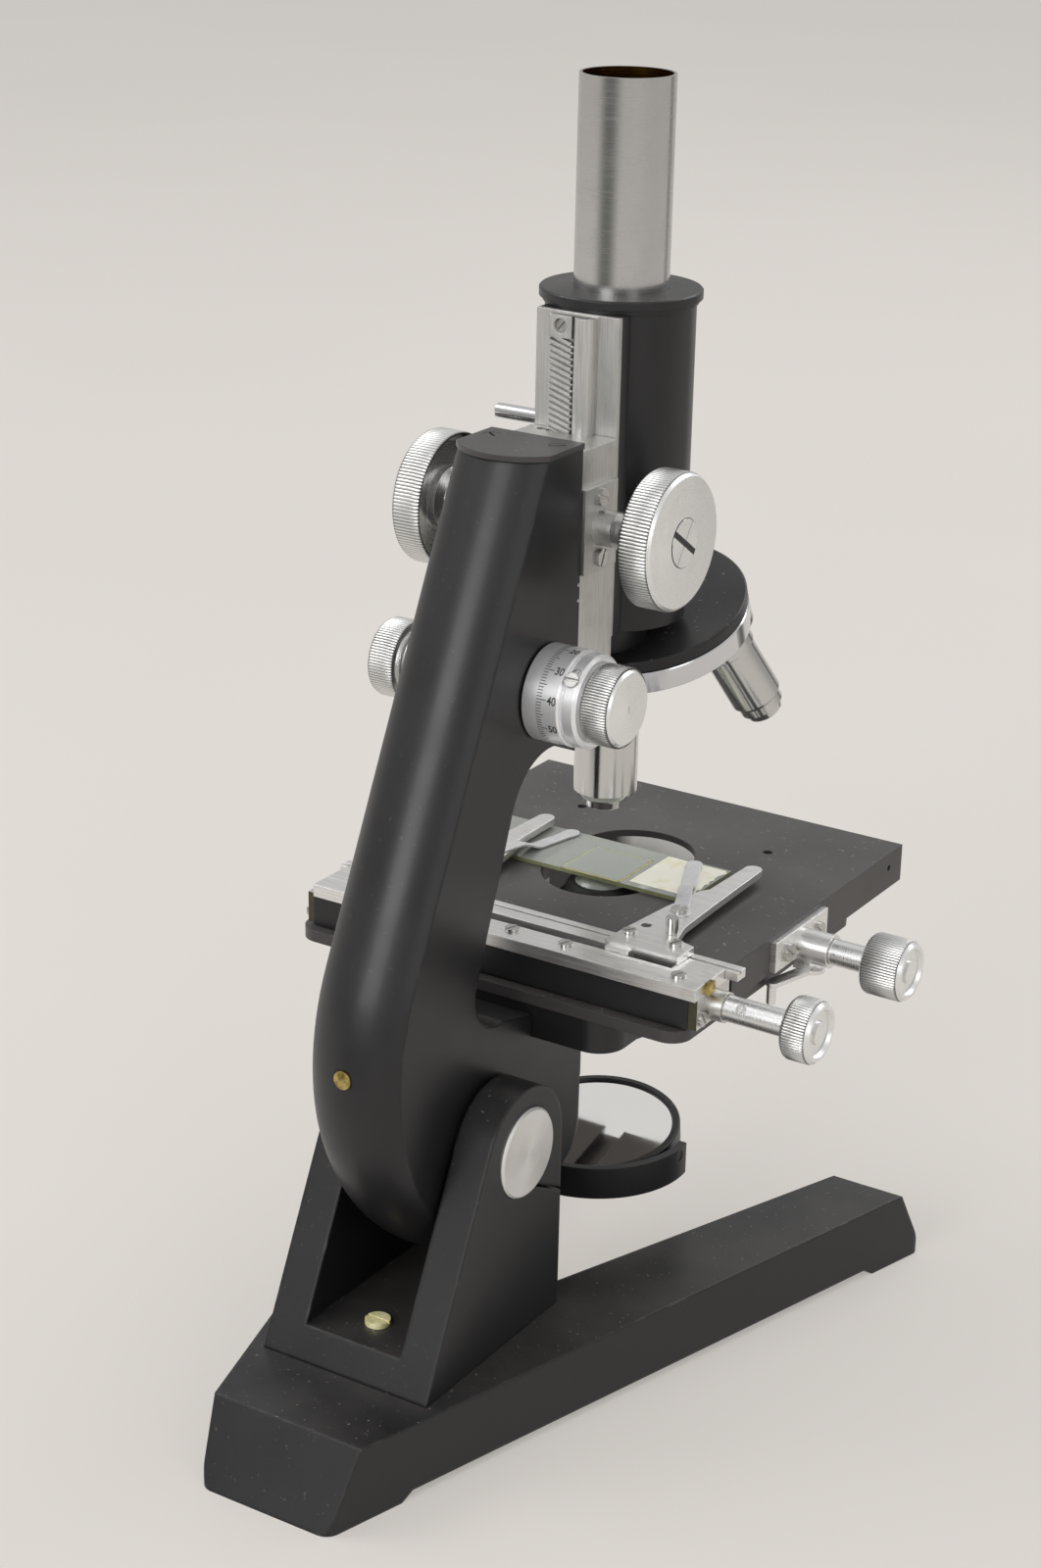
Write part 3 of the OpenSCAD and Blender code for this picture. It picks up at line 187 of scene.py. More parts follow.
def black_enamel(name="black_enamel", tone=(24, 23, 25), roughness=0.4, dust=0.25, edge=0.0004, painted_light_mask=None):
    """Satin stove enamel: faint orange peel, rubbed edges, a little dust on what faces up.

    Where a function of the shader, given last, gives 1, it is painted pale: painted light.
    """
    s = Shader(name)
    broad = s.noise(38, 4)
    fine = s.noise(1400, 2)
    worn = s.product(s.edge_mask(edge * 1.3, 0.05, 0.3), s.spread(s.noise(160, 5), 0.56, 0.72))
    specks = s.product(s.spread(s.noise(700, 2), 0.68, 0.72, 0.0, 2.0), s.upward(0.3, 0.9))
    haze = s.product(s.upward(0.5, 1.0), s.spread(s.noise(24, 5), 0.35, 0.75, 0.0, dust * 0.5))
    dusty = s.maths("MAXIMUM", s.product(specks, dust), haze)
    base = s.mix(s.spread(broad, 0.3, 0.7), linear(*tone), linear(*[c + 5 for c in tone]))
    base = s.mix(dusty, base, linear(150, 145, 138))
    base = s.mix(s.product(worn, 0.55), base, linear(128, 124, 118))
    # Painted light: pale where the given mask is 1
    if painted_light_mask:
        base = s.mix(painted_light_mask(s), base, linear(236, 234, 230))
    rough = s.maths("ADD", s.spread(broad, 0.3, 0.7, roughness - 0.04, roughness + 0.05),
                    s.product(dusty, 0.3))
    normal = s.bump(fine, 0.00002, 0.5, s.soft_edges(edge))
    s.set(Base_Color=base, Roughness=rough, Normal=normal, Coat_Weight=0.1, Coat_Roughness=0.2,
          Specular_IOR_Level=0.4)
    return s.material


def machined(name, tone, roughness=0.34, stretch=(1, 1, 60)):
    """Milled or drawn aluminium: fine streaks, longer by stretch along each axis, and darker rubbed spots."""
    s = Shader(name)
    scale = [4200 / v for v in stretch]
    coords = s.add("Mapping", {"Vector": s.object_coords(), "Scale": scale}, out="Vector")
    streaks = s.noise(1.0, 3, vector=coords)
    stains = s.noise(90, 5)
    darker, lighter = linear(*[c - 16 for c in tone]), linear(*[c + 12 for c in tone])
    base = s.mix(s.spread(streaks, 0.3, 0.7), darker, lighter)
    base = s.mix(s.spread(stains, 0.56, 0.75, 0.0, 0.35), base, linear(*[c * 0.72 for c in tone]))
    rough = s.spread(s.maths("ADD", streaks, s.product(stains, 0.5)), 0.5, 1.0,
                     roughness - 0.08, roughness + 0.1)
    normal = s.bump(streaks, 0.00001, 0.5, s.soft_edges(0.00025))
    s.set(Base_Color=base, Metallic=1.0, Roughness=rough, Normal=normal)
    return s.material


def turned(name, centre, axis, tone=(238, 238, 237), roughness=0.27, depth=0.0000018, edge=0.0002,
           bore=None, crest=None):
    """Lathe-turned metal: fine grooves of some depth round an axis through centre, in metres.

    Its edges are rounded off by edge. It is brown inside the radius bore, and has painted shade towards the
    feet of ridges, darker there, crest being their outer radius.
    """
    s = Shader(name)
    per_metre = 1 / 0.00022
    rel = s.add("VectorMath", {0: s.object_coords(), 1: centre}, out="Vector", operation="SUBTRACT")
    along = s.add("VectorMath", {0: rel, 1: axis}, out="Value", operation="DOT_PRODUCT")
    size = s.add("VectorMath", {0: rel}, out="Value", operation="LENGTH")
    radius = s.maths("SQRT", s.maths("SUBTRACT", s.product(size, size), s.product(along, along)))
    place = s.add("CombineXYZ", {"X": s.product(radius, per_metre), "Y": s.product(along, per_metre)},
                  out="Vector")
    grooves = s.noise(1.0, 3, vector=place)
    stains = s.noise(140, 4)
    base = s.mix(s.spread(stains, 0.5, 0.8, 0.0, 0.14), linear(*tone), linear(*[c * 0.8 for c in tone]))
    if bore:
        tarnish = s.mix(s.noise(60, 4), linear(150, 112, 52), linear(92, 62, 24))
        base = s.mix(s.spread(radius, bore, bore + 0.0002), tarnish, base)
    # Painted shade: darker towards the feet of the knurls' ridges
    if crest:
        base = s.mix(s.spread(radius, crest - 0.0003, crest - 0.00008), linear(96, 94, 90), base)
    rough = s.maths("ADD", s.spread(grooves, 0.3, 0.7, roughness - 0.05, roughness + 0.07),
                    s.spread(stains, 0.5, 0.8, 0.0, 0.04))
    normal = s.bump(grooves, depth, 0.8, s.soft_edges(edge) if edge else None)
    tangent = s.add("Tangent", direction_type="RADIAL", axis="XYZ"[axis.index(1)])
    s.set(Base_Color=base, Metallic=1.0, Roughness=rough, Normal=normal, Anisotropic=0.6, Tangent=tangent)
    return s.material


def chrome(name="chrome", tone=(214, 214, 216), roughness=0.08):
    """Bright plating with faint wipe marks."""
    s = Shader(name)
    smears = s.noise(60, 6)
    rough = s.spread(smears, 0.35, 0.75, roughness, roughness + 0.14)
    pits = s.spread(s.noise(1200, 2), 0.72, 0.78, 0.0, 0.5)
    base = s.mix(pits, linear(*tone), linear(120, 116, 110))
    s.set(Base_Color=base, Metallic=1.0, Roughness=rough, Normal=s.soft_edges(0.0002))
    return s.material


def brass(name="brass", tone=(196, 176, 112), dark=(120, 98, 52), metallic=1.0):
    s = Shader(name)
    tarnish = s.noise(420, 5)
    base = s.mix(s.spread(tarnish, 0.4, 0.7), linear(*tone), linear(*dark))
    s.set(Base_Color=base, Metallic=metallic, Roughness=s.spread(tarnish, 0.3, 0.8, 0.25, 0.5),
          Normal=s.soft_edges(0.0002))
    return s.material


def clear_glass():
    s = Shader("clear_glass")
    smudge = s.noise(90, 5)
    s.set(Base_Color=linear(232, 240, 236), Roughness=s.spread(smudge, 0.5, 0.8, 0.02, 0.16), IOR=1.52,
          Transmission_Weight=1.0)
    return s.material


def silvered():
    s = Shader("silvered")
    haze = s.noise(70, 5)
    s.set(Base_Color=linear(253, 251, 248), Metallic=1.0, Roughness=s.spread(haze, 0.4, 0.8, 0.02, 0.1))
    return s.material


def satin_scale():
    """Matt chrome of a graduated drum: soft, nearly white, with a faint grain round the axis."""
    s = Shader("satin_scale")
    place = s.add("CombineXYZ", {"X": s.product(s.part("X"), 9000.0)}, out="Vector")
    grain = s.noise(1.0, 3, vector=place)
    base = s.mix(s.spread(grain, 0.3, 0.7), linear(228, 228, 229), linear(246, 246, 247))
    normal = s.bump(grain, 0.000002, 0.5, s.soft_edges(0.0002))
    s.set(Base_Color=base, Metallic=0.7, Roughness=0.34, Normal=normal)
    return s.material


def slide_glass(name="slide_glass", rim=(196, 202, 150)):
    """Old glass: hazy faces, and upright edges of their own colour, pale green on a slide."""
    s = Shader(name)
    edge = s.maths("SUBTRACT", 1.0, s.maths("ABSOLUTE", s.facing("Z")))
    base = s.mix(s.spread(edge, 0.3, 0.7), linear(222, 226, 218), linear(*rim))
    haze = s.noise(70, 5)
    s.set(Base_Color=base, Roughness=s.spread(haze, 0.4, 0.8, 0.04, 0.2), IOR=1.52, Transmission_Weight=0.62)
    return s.material


def end_plate():
    """Milled plate whose rear edge keeps an olive-brown lacquer."""
    s = Shader("end_plate")
    rear = s.maths("LESS_THAN", s.part("Y"), AXIS_Y - 0.0545)
    lacquer = s.product(rear, s.spread(s.facing("Y"), -0.8, -0.6, 1.0, 0.0))
    streaks = s.noise(900, 4)
    metal = s.mix(streaks, linear(190, 189, 185), linear(228, 227, 224))
    base = s.mix(lacquer, metal, s.mix(streaks, linear(70, 62, 34), linear(34, 31, 24)))
    s.set(Base_Color=base, Metallic=s.maths("SUBTRACT", 1.0, lacquer), Roughness=0.36,
          Normal=s.soft_edges(0.0002))
    return s.material


def paper():
    """Aged gummed paper: cream, yellower in patches and towards its right end."""
    s = Shader("label_paper")
    right = s.spread(s.part("X"), 0.031, 0.037, 0.0, 0.3)
    stain = s.spread(s.maths("ADD", s.noise(210, 5), right), 0.52, 0.8)
    base = s.mix(stain, linear(240, 238, 224), linear(214, 208, 150))
    s.set(Base_Color=base, Roughness=0.8, Normal=s.bump(s.noise(2600, 3), 0.00002, 0.6))
    return s.material


def engraved(name="engraved_black"):
    """Black filler of engraved lines, thin in places."""
    s = Shader(name)
    base = s.mix(s.spread(s.noise(2400, 3), 0.5, 0.75), linear(30, 30, 32), linear(88, 88, 90))
    s.set(Base_Color=base, Roughness=0.55)
    return s.material


def dress(material, *names):
    """Gives CAD nodes a material in every slot."""
    for name in names:
        slots = NODES[name].data.materials
        slots.clear()
        slots.append(material)


def paint_nodes():
    enamel = black_enamel()
    # The plates' lighter tone is partly painted sheen, from the light these top plates catch
    plate = black_enamel("black_plate", PLATE_TONE_AND_SHEEN, dust=0.3)
    inner = black_enamel("black_matt", (20, 20, 20), roughness=0.6, dust=0.1)
    dress(black_enamel("cast_enamel", edge=0.0012), "base_casting", "pillar", "arm")
    dress(enamel, "body_tube", "nosepiece_plate", "tube_flange",
          "stage_bracket", "condenser_bracket", "mirror_bracket", "mirror_fork", "rail_body", "mirror_cell")
    dress(plate, "stage_base", "arm_cap", "arm_cap_screws")
    # The stage plate carries painted light on the wall of its opening
    dress(black_enamel("stage_black", PLATE_TONE_AND_SHEEN, dust=0.3, painted_light_mask=opening_painted_light), "stage_plate")
    dress(inner, "condenser")
    METALS["across"] = machined("milled_across", (236, 235, 233), stretch=(60, 1, 1))
    METALS["strip"] = machined("rolled_strip", (222, 222, 223), 0.5, stretch=(1, 40, 1))
    dress(machined("milled_upright", (204, 203, 200), 0.42),
          "focus_block", "slide_plate", "pinion_bearings", "rack")
    dress(METALS["across"], "x_rail", "slide_bar", "slide_holder", "y_bearing", "tension_arm")
    dress(end_plate(), "rail_end_plates")
    eyepiece = turned("turned_eyepiece", (0, AXIS_Y, 0), (0, 0, 1), (194, 194, 193), 0.22, depth=0.0000003,
                      edge=None, bore=0.0117)
    dress(eyepiece, "eyepiece_tube")
    for key, centre, names in (("coarse", COARSE, ("coarse_knobs", "knob_screws", "pinion_shaft")),
                               ("fine", FINE, ("fine_knobs", "fine_shaft")),
                               ("cross", CROSS, ("y_knob", "y_shaft")),
                               ("traverse", TRAVERSE, ("x_knob", "x_screw"))):
        small = key in ("cross", "traverse")
        METALS[key] = turned("turned_" + key, centre, (1, 0, 0), depth=0.0000005 if small else 0.0000018,
                             edge=None if small else 0.0002)
        dress(METALS[key], *names)
    for key, centre, radius in RIMS:
        # The rims' materials carry painted shade in the valleys between their knurl ridges
        METALS["rim_" + key] = turned("rim_" + key, centre, (1, 0, 0), (228, 228, 226), 0.32, edge=None,
                                      crest=radius + RIDGE)
    pivot = (0, 0.0683, 0.0748)
    dress(turned("turned_caps", pivot, (1, 0, 0), (232, 231, 229), 0.5), "pivot_caps", "pivot_pin")
    dress(chrome(), "turret", "turret_screw", "objective_working", "objective_side", "tube_stud")
    dress(satin_scale(), "fine_drum")
    METALS["barrel"] = chrome("satin_chrome", (206, 205, 203), 0.12)
    METALS["steel"] = chrome("screw_steel", (190, 189, 186), 0.2)
    dress(METALS["steel"], "bearing_screws", "stage_screws", "holder_screws", "rack_screws", "base_bolts",
          "fine_set_screws", "stage_base_screws")
    METALS["brass"] = brass()
    dress(METALS["brass"], "stop_pin")
    # The recess screw's near-white tone is painted light, so that its head shows bright in the shaded recess
    dress(brass("dull_brass_painted_light", (252, 246, 196), (222, 212, 150), 0.2), "recess_screw")
    dress(clear_glass(), "objective_lenses")
    dress(slide_glass("lens_glass", (236, 240, 238)), "condenser_lens")
    dress(slide_glass(), "glass_slide")
    dress(silvered(), "mirror_glass")


# ------------------------------------------------------------------ mesh helpers
def add_piece(name, body, material, verts, faces, crease=35):
    """A mesh object that rides on a body, smooth except at edges sharper than crease degrees."""
    mesh = bpy.data.meshes.new(name)
    mesh.from_pydata([tuple(v) for v in verts], [], faces)
    bm = bmesh.new()
    bm.from_mesh(mesh)
    bmesh.ops.recalc_face_normals(bm, faces=bm.faces)
    bm.to_mesh(mesh)
    bm.free()
    mesh.polygons.foreach_set("use_smooth", [True] * len(mesh.polygons))
    mesh.set_sharp_from_angle(angle=math.radians(crease))
    mesh.materials.append(material)
    piece = bpy.data.objects.new(name, mesh)
    bpy.context.scene.collection.objects.link(piece)
    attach(piece, body)
    return piece


def add_prism(verts, faces, low, high):
    """Adds a closed prism between two matching rings of points."""
    n, first = len(low), len(verts)
    verts += [*low, *high]
    faces += [tuple(range(first, first + n)), tuple(range(first + n, first + 2 * n))]
    for i in range(n):
        j = (i + 1) % n
        faces.append((first + i, first + j, first + n + j, first + n + i))


def band_faces(rings, steps):
    """Quads of a closed loop of rings, each of which has steps points."""
    faces = []
    for k in range(rings):
        a, b = k * steps, (k + 1) % rings * steps
        faces += [(a + i, a + (i + 1) % steps, b + (i + 1) % steps, b + i) for i in range(steps)]
    return faces


def knurl(name, body, axis, start, end, radius, teeth, depth, material):
    """A rim of straight ridges round an axis along X, from start to end."""
    slope = math.copysign(2 * depth, end - start)
    inner = radius - 0.0004
    loop = ((start, inner, 0), (start, radius, 0), (start + slope, radius, 1), (end - slope, radius, 1),
            (end, radius, 0), (end, inner, 0))
    steps = teeth * 4
    verts = []
    for x, r, full in loop:
        for i in range(steps):
            turn = 2 * math.pi * i / steps
            size = r + full * depth * (0, 0.75, 1, 0.75)[i % 4]
            verts.append((x, axis.y + size * math.cos(turn), axis.z + size * math.sin(turn)))
    return add_piece(name, body, material, verts, band_faces(len(loop), steps))


def prism(name, body, outline, low, high, material):
    """A flat piece with an outline in X and Y, between two heights."""
    verts, faces = [], []
    add_prism(verts, faces, *([(x, y, z) for x, y in outline] for z in (low, high)))
    return add_piece(name, body, material, verts, faces)


def on_drum(axis, x, radius, turn):
    """A point on a cylinder along X; turn is 0 at the rear and grows upwards."""
    return (x, axis.y - radius * math.cos(turn), axis.z + radius * math.sin(turn))


# ------------------------------------------------------------------ pieces
def make_knurls():
    start, end = COARSE_RIM
    spans = {"coarse": [(start, end), (-start, -end)]}
    low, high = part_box("fine_knobs")
    spans["fine"] = [(high[0] - 0.0084, high[0] - 0.0010), (low[0] + 0.0084, low[0] + 0.0010)]
    for key, node in (("cross", "y_knob"), ("traverse", "x_knob")):
        low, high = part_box(node)
        spans[key] = [(low[0] + 0.0006, high[0] - 0.0010)]
    bodies = {"coarse": "coarse_drive", "fine": "fine_drive", "cross": "y_drive", "traverse": "x_drive"}
    teeth = {"coarse": 120, "fine": 84, "cross": 66, "traverse": 66}
    for key, centre, radius in RIMS:
        for k, (start, end) in enumerate(spans[key]):
            knurl("knurl_%s_%d" % (key, k), bodies[key], centre, start, end, radius, teeth[key], RIDGE,
                  METALS["rim_" + key])


def make_divisions(ink, start):
    """A hundred engraved lines round the fine drum, from start along X, longer at the fives and the tens."""
    half = 0.00011 / DRUM_RADIUS
    verts, faces = [], []
    for i in range(100):
        turn = DRUM_ZERO - math.radians(3.6) * i
        end = start + (0.0028 if i % 10 == 0 else 0.0022 if i % 5 == 0 else 0.0015)
        corners = ((start, turn - half), (end, turn - half), (end, turn + half), (start, turn + half))
        levels = (DRUM_RADIUS - 0.00002, DRUM_RADIUS + 0.000012)
        add_prism(verts, faces, *([on_drum(FINE, x, r, a) for x, a in corners] for r in levels))
    add_piece("drum_divisions", "fine_drive", ink, verts, faces)


def make_figures(ink, start):
    """The tens, from start along X, bent round the fine drum."""
    verts, faces = [], []
    for tens in range(10):
        curve = bpy.data.curves.new("figure", "FONT")
        curve.body = str(tens * 10)
        curve.size = 0.0031
        curve.offset = 0.00005
        curve.extrude = 0.00002
        figure = bpy.data.objects.new("figure", curve)
        mesh = figure.to_mesh()
        turn = DRUM_ZERO - math.radians(36) * tens
        first = len(verts)
        for v in mesh.vertices:
            angle = turn + (v.co.y - 0.001) / DRUM_RADIUS
            verts.append(on_drum(FINE, start + v.co.x * 0.82, DRUM_RADIUS + v.co.z, angle))
        faces += [tuple(first + k for k in f.vertices) for f in mesh.polygons]
        figure.to_mesh_clear()
        bpy.data.objects.remove(figure)
        bpy.data.curves.remove(curve)
    add_piece("drum_figures", "fine_drive", ink, verts, faces)


def make_graduations():
    ink = engraved()
    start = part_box("fine_drum")[0][0] + 0.0042
    make_divisions(ink, start)
    make_figures(ink, start + 0.0031)


def strip_width(s, reach):
    """Half the width of a spring finger at s from its pivot: a round hub, a straight strip, a round tip."""
    hub, half, tip, least = FINGER_HUB, 0.00195, FINGER_TIP, 0.00001
    if s <= 0:
        return max(math.sqrt(max(hub * hub - s * s, 0)), least)
    if s <= reach - tip:
        return half
    if s <= reach:
        return tip
    return max(math.sqrt(max(tip * tip - (s - reach) ** 2, 0)), least)


def spring_finger(name, node, body, pivot, turn, reach):
    """A bent spring strip: level over the holder, a soft step down, then flat on the slide to a round tip."""
    thick = 0.0006
    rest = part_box("glass_slide")[1][2] + 0.0002
    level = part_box("slide_holder")[1][2] + 0.00005
    step_start, step_end = 0.016, 0.025
    stations = [-FINGER_HUB * math.cos(math.pi * k / 24) for k in range(13)]
    stations += [reach * k / 40 for k in range(1, 41) if reach * k / 40 > FINGER_HUB]
    stations += [reach + FINGER_TIP * math.sin(math.pi * k / 24) for k in range(1, 13)]
    verts = []
    for s in stations:
        width = strip_width(s, reach)
        down = min(max((s - step_start) / (step_end - step_start), 0), 1)
        z = level + (rest - level) * down * down * (3 - 2 * down)
        for w, h in ((-width, 0), (width, 0), (width, thick), (-width, thick)):
            x = pivot[0] + w * math.cos(turn) - s * math.sin(turn)
            y = pivot[1] + w * math.sin(turn) + s * math.cos(turn)
            verts.append((x, y, z + h))
    faces = [(0, 1, 2, 3)]
    for k in range(len(stations) - 1):
        a = 4 * k
        faces += [(a + i, a + (i + 1) % 4, a + 4 + (i + 1) % 4, a + 4 + i) for i in range(4)]
    last = 4 * (len(stations) - 1)
    faces.append((last, last + 1, last + 2, last + 3))
    piece = add_piece(name, body, METALS["strip"], verts, faces)
    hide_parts(node)
    head = (pivot[0], pivot[1], level + thick)
    slot_screw(name + "_rivet", body, head, (0, 0, 1), radius=0.0023, height=0.0009, turn=0.9)


def slot_screw(name, body, place, normal, radius, height, turn):
    """A slotted round head on a surface: a disc with two half discs on it."""
    up = Vector(normal).normalized()
    side = Matrix.Rotation(turn, 3, up) @ up.orthogonal().normalized()
    other = up.cross(side)
    place = Vector(place)
    slot, steps = radius * 0.16, 20
    verts, faces = [], []

    def stack(start, end, low, high, closed):
        turns = [start + (end - start) * k / steps for k in range(steps + closed)]
        rim = [place + side * (math.cos(a) * radius) + other * (math.sin(a) * radius) for a in turns]
        add_prism(verts, faces, *([p + up * z for p in rim] for z in (low, high)))

    stack(0, 2 * math.pi, -0.0001, height * 0.45, 0)
    limit = math.asin(slot / radius)
    for half in (0, math.pi):
        stack(half + limit, half + math.pi - limit, height * 0.45 - 0.00005, height, 1)
    add_piece(name, body, METALS["steel"], verts, faces)


def knob_end(face, out, verts, faces, disc_verts, disc_faces):
    """One end screw, flush in the face at X = face that looks along out: four quarters over a dark disc.

    A wide slot crosses it, and a thin seam square to the slot.
    The dark disc shows in the seam as a dark joint and in the slot as painted shade.
    """
    radius, slot, seam, steps = 0.0063, 0.0008, 0.00013, 16
    slant = math.radians(-34)
    centre = Vector((face, COARSE.y, COARSE.z))
    u, v = Vector((0, math.cos(slant), math.sin(slant))), Vector((0, -math.sin(slant), math.cos(slant)))
    start, end = math.asin(slot / radius), math.acos(seam / radius)
    turns = [start + (end - start) * k / steps for k in range(steps + 1)]
    outline = [(seam, slot)] + [(radius * math.cos(a), radius * math.sin(a)) for a in turns]
    for su in (-1, 1):
        for sv in (-1, 1):
            quarter = [centre + u * su * a + v * sv * b for a, b in outline]
            levels = (Vector((x * out, 0, 0)) for x in (0.00002, 0.00022))
            add_prism(verts, faces, *([p + level for p in quarter] for level in levels))
    # The dark disc: a dark joint in the seam, painted shade at the floor of the slot
    first, steps = len(disc_verts), 64
    for k in range(steps):
        a = 2 * math.pi * k / steps
        disc_verts.append(centre + Vector((0.00004 * out, 0, 0))
                          + (u * math.cos(a) + v * math.sin(a)) * (radius + 0.0002))
    disc_faces.append(tuple(range(first, first + steps)))


def make_knob_inserts():
    """The end screws of the two coarse knobs."""
    low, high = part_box("coarse_knobs")
    verts, faces, disc_verts, disc_faces = [], [], [], []
    for face, out in ((high[0], 1), (low[0], -1)):
        knob_end(face, out, verts, faces, disc_verts, disc_faces)
    piece = add_piece("knob_inserts", "coarse_drive", METALS["coarse"], verts, faces)
    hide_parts("knob_screws")
    # A dark disc under the end screws: a dark joint in the seam, painted shade in the slot
    add_piece("knob_seams", "coarse_drive", engraved("seam_and_slot_shade"), disc_verts, disc_faces)


def make_slide():
    slide = NODES["glass_slide"].data.materials[0]
    low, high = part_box("glass_slide")
    top = high[2]
    left, right, front, back = 0.0108, high[0] - 0.0004, low[1] + 0.0025, high[1] - 0.0012
    ragged = [(right + random.uniform(-0.0009, 0.0006), front + (back - front) * k / 14) for k in range(15)]
    outline = [(left, front), *ragged, (left + 0.0001, back)]
    prism("slide_label", "slide_carrier", outline, top, top + 0.00014, paper())
    size, middle = 0.009, (-0.0005, AXIS_Y + 0.0035)
    cover = [(middle[0] + a * size, middle[1] + b * size) for a, b in ((-1, -1), (1, -1), (1, 1), (-1, 1))]
    prism("cover_glass", "slide_carrier", cover, top + 0.00001, top + 0.00018, slide)
    cement = brass("balsam", (226, 218, 156), (192, 180, 112), 0.2)
    rim = 0.0004
    for k in range(4):
        (x0, y0), (x1, y1) = cover[k], cover[(k + 1) % 4]
        along = Vector((x1 - x0, y1 - y0)).normalized() * rim
        out = Vector((along.y, -along.x))
        strip = [(x0 - along.x, y0 - along.y), (x1 + along.x, y1 + along.y),
                 (x1 + along.x + out.x, y1 + along.y + out.y), (x0 - along.x + out.x, y0 - along.y + out.y)]
        prism("cover_cement_%d" % k, "slide_carrier", strip, top, top + 0.0001, cement)


def objective(name, node, top, axis, radius, length, shoulder):
    """A turned barrel on a collar, with a short nose, below its seat at top; axis points down and out."""
    nose, collar, sleeve = 0.0052, 0.0110, radius + 0.0006
    bore, lens = 0.0042, 0.0032
    profile = [(0.0, bore), (0.0, collar), (0.0026, collar), (0.0030, sleeve), (0.0088, sleeve),
               (0.0092, radius), (length - shoulder, radius), (length - shoulder + 0.0012, radius - 0.0010),
               (length - 0.0026, nose + 0.0012), (length - 0.0022, nose + 0.0004), (length - 0.0003, nose),
               (length, nose - 0.0004), (length, lens), (length - 0.0016, lens), (length - 0.003, bore)]
    side = axis.orthogonal().normalized()
    other = axis.cross(side)
    steps = 96
    verts = []
    for along, r in profile:
        for i in range(steps):
            turn = 2 * math.pi * i / steps
            verts.append(top + axis * along + (side * math.cos(turn) + other * math.sin(turn)) * r)
    faces = band_faces(len(profile), steps)
    piece = add_piece(name, "nosepiece", METALS["barrel"], verts, faces, crease=20)
    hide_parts(node)


def make_objectives():
    seat = Vector((0, AXIS_Y, 0.1797))
    down = Vector((0, 0, -1))
    objective("objective_high", "objective_working", seat, down,
              radius=0.0088, length=0.0388, shoulder=0.0050)
    tilt = math.radians(19.4)
    pivot = Vector((0, AXIS_Y + 0.0146, 0.1965))
    spin = Matrix.Rotation(2 * math.pi / 3, 3, Vector((0, -math.sin(tilt), math.cos(tilt))))
    top = pivot + spin @ (seat - pivot)
    objective("objective_low", "objective_side", top, spin @ down,
              radius=0.0074, length=0.0330, shoulder=0.0064)


def make_set_screws():
    """Grub screws of the traverse sleeve and the fine knob, and two small pins in the limb's side."""
    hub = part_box("fine_drum")[1][0] - 0.0022
    for name, body, axis, x, radius, lift in (("sleeve_screw", "x_drive", TRAVERSE, 0.0713, 0.0035, 34),
                                              ("hub_screw", "fine_drive", FINE, hub, 0.0122, 50)):
        lift = math.radians(lift)
        normal = Vector((0, -math.cos(lift), math.sin(lift)))
        place = Vector((x, axis.y, axis.z)) + normal * (radius - 0.0002)
        slot_screw(name, body, place, normal, radius=0.0014, height=0.0003, turn=0.5)
    for k, height in enumerate((0.2125, 0.2167)):
        slot_screw("arm_pin_%d" % k, "limb", (LIMB_SIDE, 0.107, height), (1, 0, 0),
                   radius=0.0005, height=0.0002, turn=0)


def make_gib():
    """The brass gib that shows at the right end of the cross rail."""
    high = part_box("x_rail")[1]
    width = 0.0031
    x0, x1 = high[0] - 0.0001, high[0] + 0.0014
    y0 = AXIS_Y - 0.0523
    y1 = y0 + width
    outline = [(x0, y0), (x1, y0), (x1, y1), (x0, y1)]
    prism("rail_gib", "stage_top", outline, high[2] - width, high[2] + 0.0001, METALS["brass"])


def make_pieces():
    make_knurls()
    make_graduations()
    spring_finger("finger_right", "right_finger", "finger_right",
                  pivot=(0.0366, 0.126), turn=math.radians(23.6), reach=0.0409)
    spring_finger("finger_left", "left_finger", "finger_left",
                  pivot=(-0.0282, 0.126), turn=math.radians(-12), reach=0.0385)
    make_knob_inserts()
    make_slide()
    make_gib()
    make_set_screws()
    make_objectives()


def smooth_cad():
    """Round faces shade round, flat ones stay flat."""
    for node in NODES.values():
        for polygon in node.data.polygons:
            polygon.use_smooth = True
        node.data.set_sharp_from_angle(angle=math.radians(28))


# ------------------------------------------------------------------ studio
def make_camera():
    data = bpy.data.cameras.new("camera")
    data.sensor_width = 36
    data.lens = 67.4
    place = (0.38243, -0.50763, 0.43634)
    data.clip_start, data.clip_end = 0.02, 60
    camera = bpy.data.objects.new("camera", data)
    bpy.context.scene.collection.objects.link(camera)
    turn, down, roll = (math.radians(v) for v in (32.06, 20.94, 1.24))
    right = Vector((math.cos(turn), math.sin(turn), 0))
    ahead = Vector((-math.sin(turn) * math.cos(down), math.cos(turn) * math.cos(down), -math.sin(down)))
    level = right.cross(ahead)
    up = level * math.cos(roll) - right * math.sin(roll)
    right = right * math.cos(roll) + level * math.sin(roll)
    rotation = Matrix((right, up, -ahead)).transposed()
    camera.matrix_world = Matrix.Translation(place) @ rotation.to_4x4()
    bpy.context.scene.camera = camera


def dim_sides(s, x, y):
    """1 towards the room's two dim sides and 0 elsewhere, for a direction or a place on the floor.

    Each side has its middle, and how far from it the dimness is full and how far it reaches, in degrees.
    """
    turn = s.maths("ARCTAN2", y, x)
    sides = []
    for middle, full, reach in ((70, 2, 7), (-100, 8, 28)):
        along = s.maths("COSINE", s.maths("SUBTRACT", turn, math.radians(middle)))
        sides.append(s.spread(along, math.cos(math.radians(reach)), math.cos(math.radians(full))))
    return s.maths("MAXIMUM", *sides)


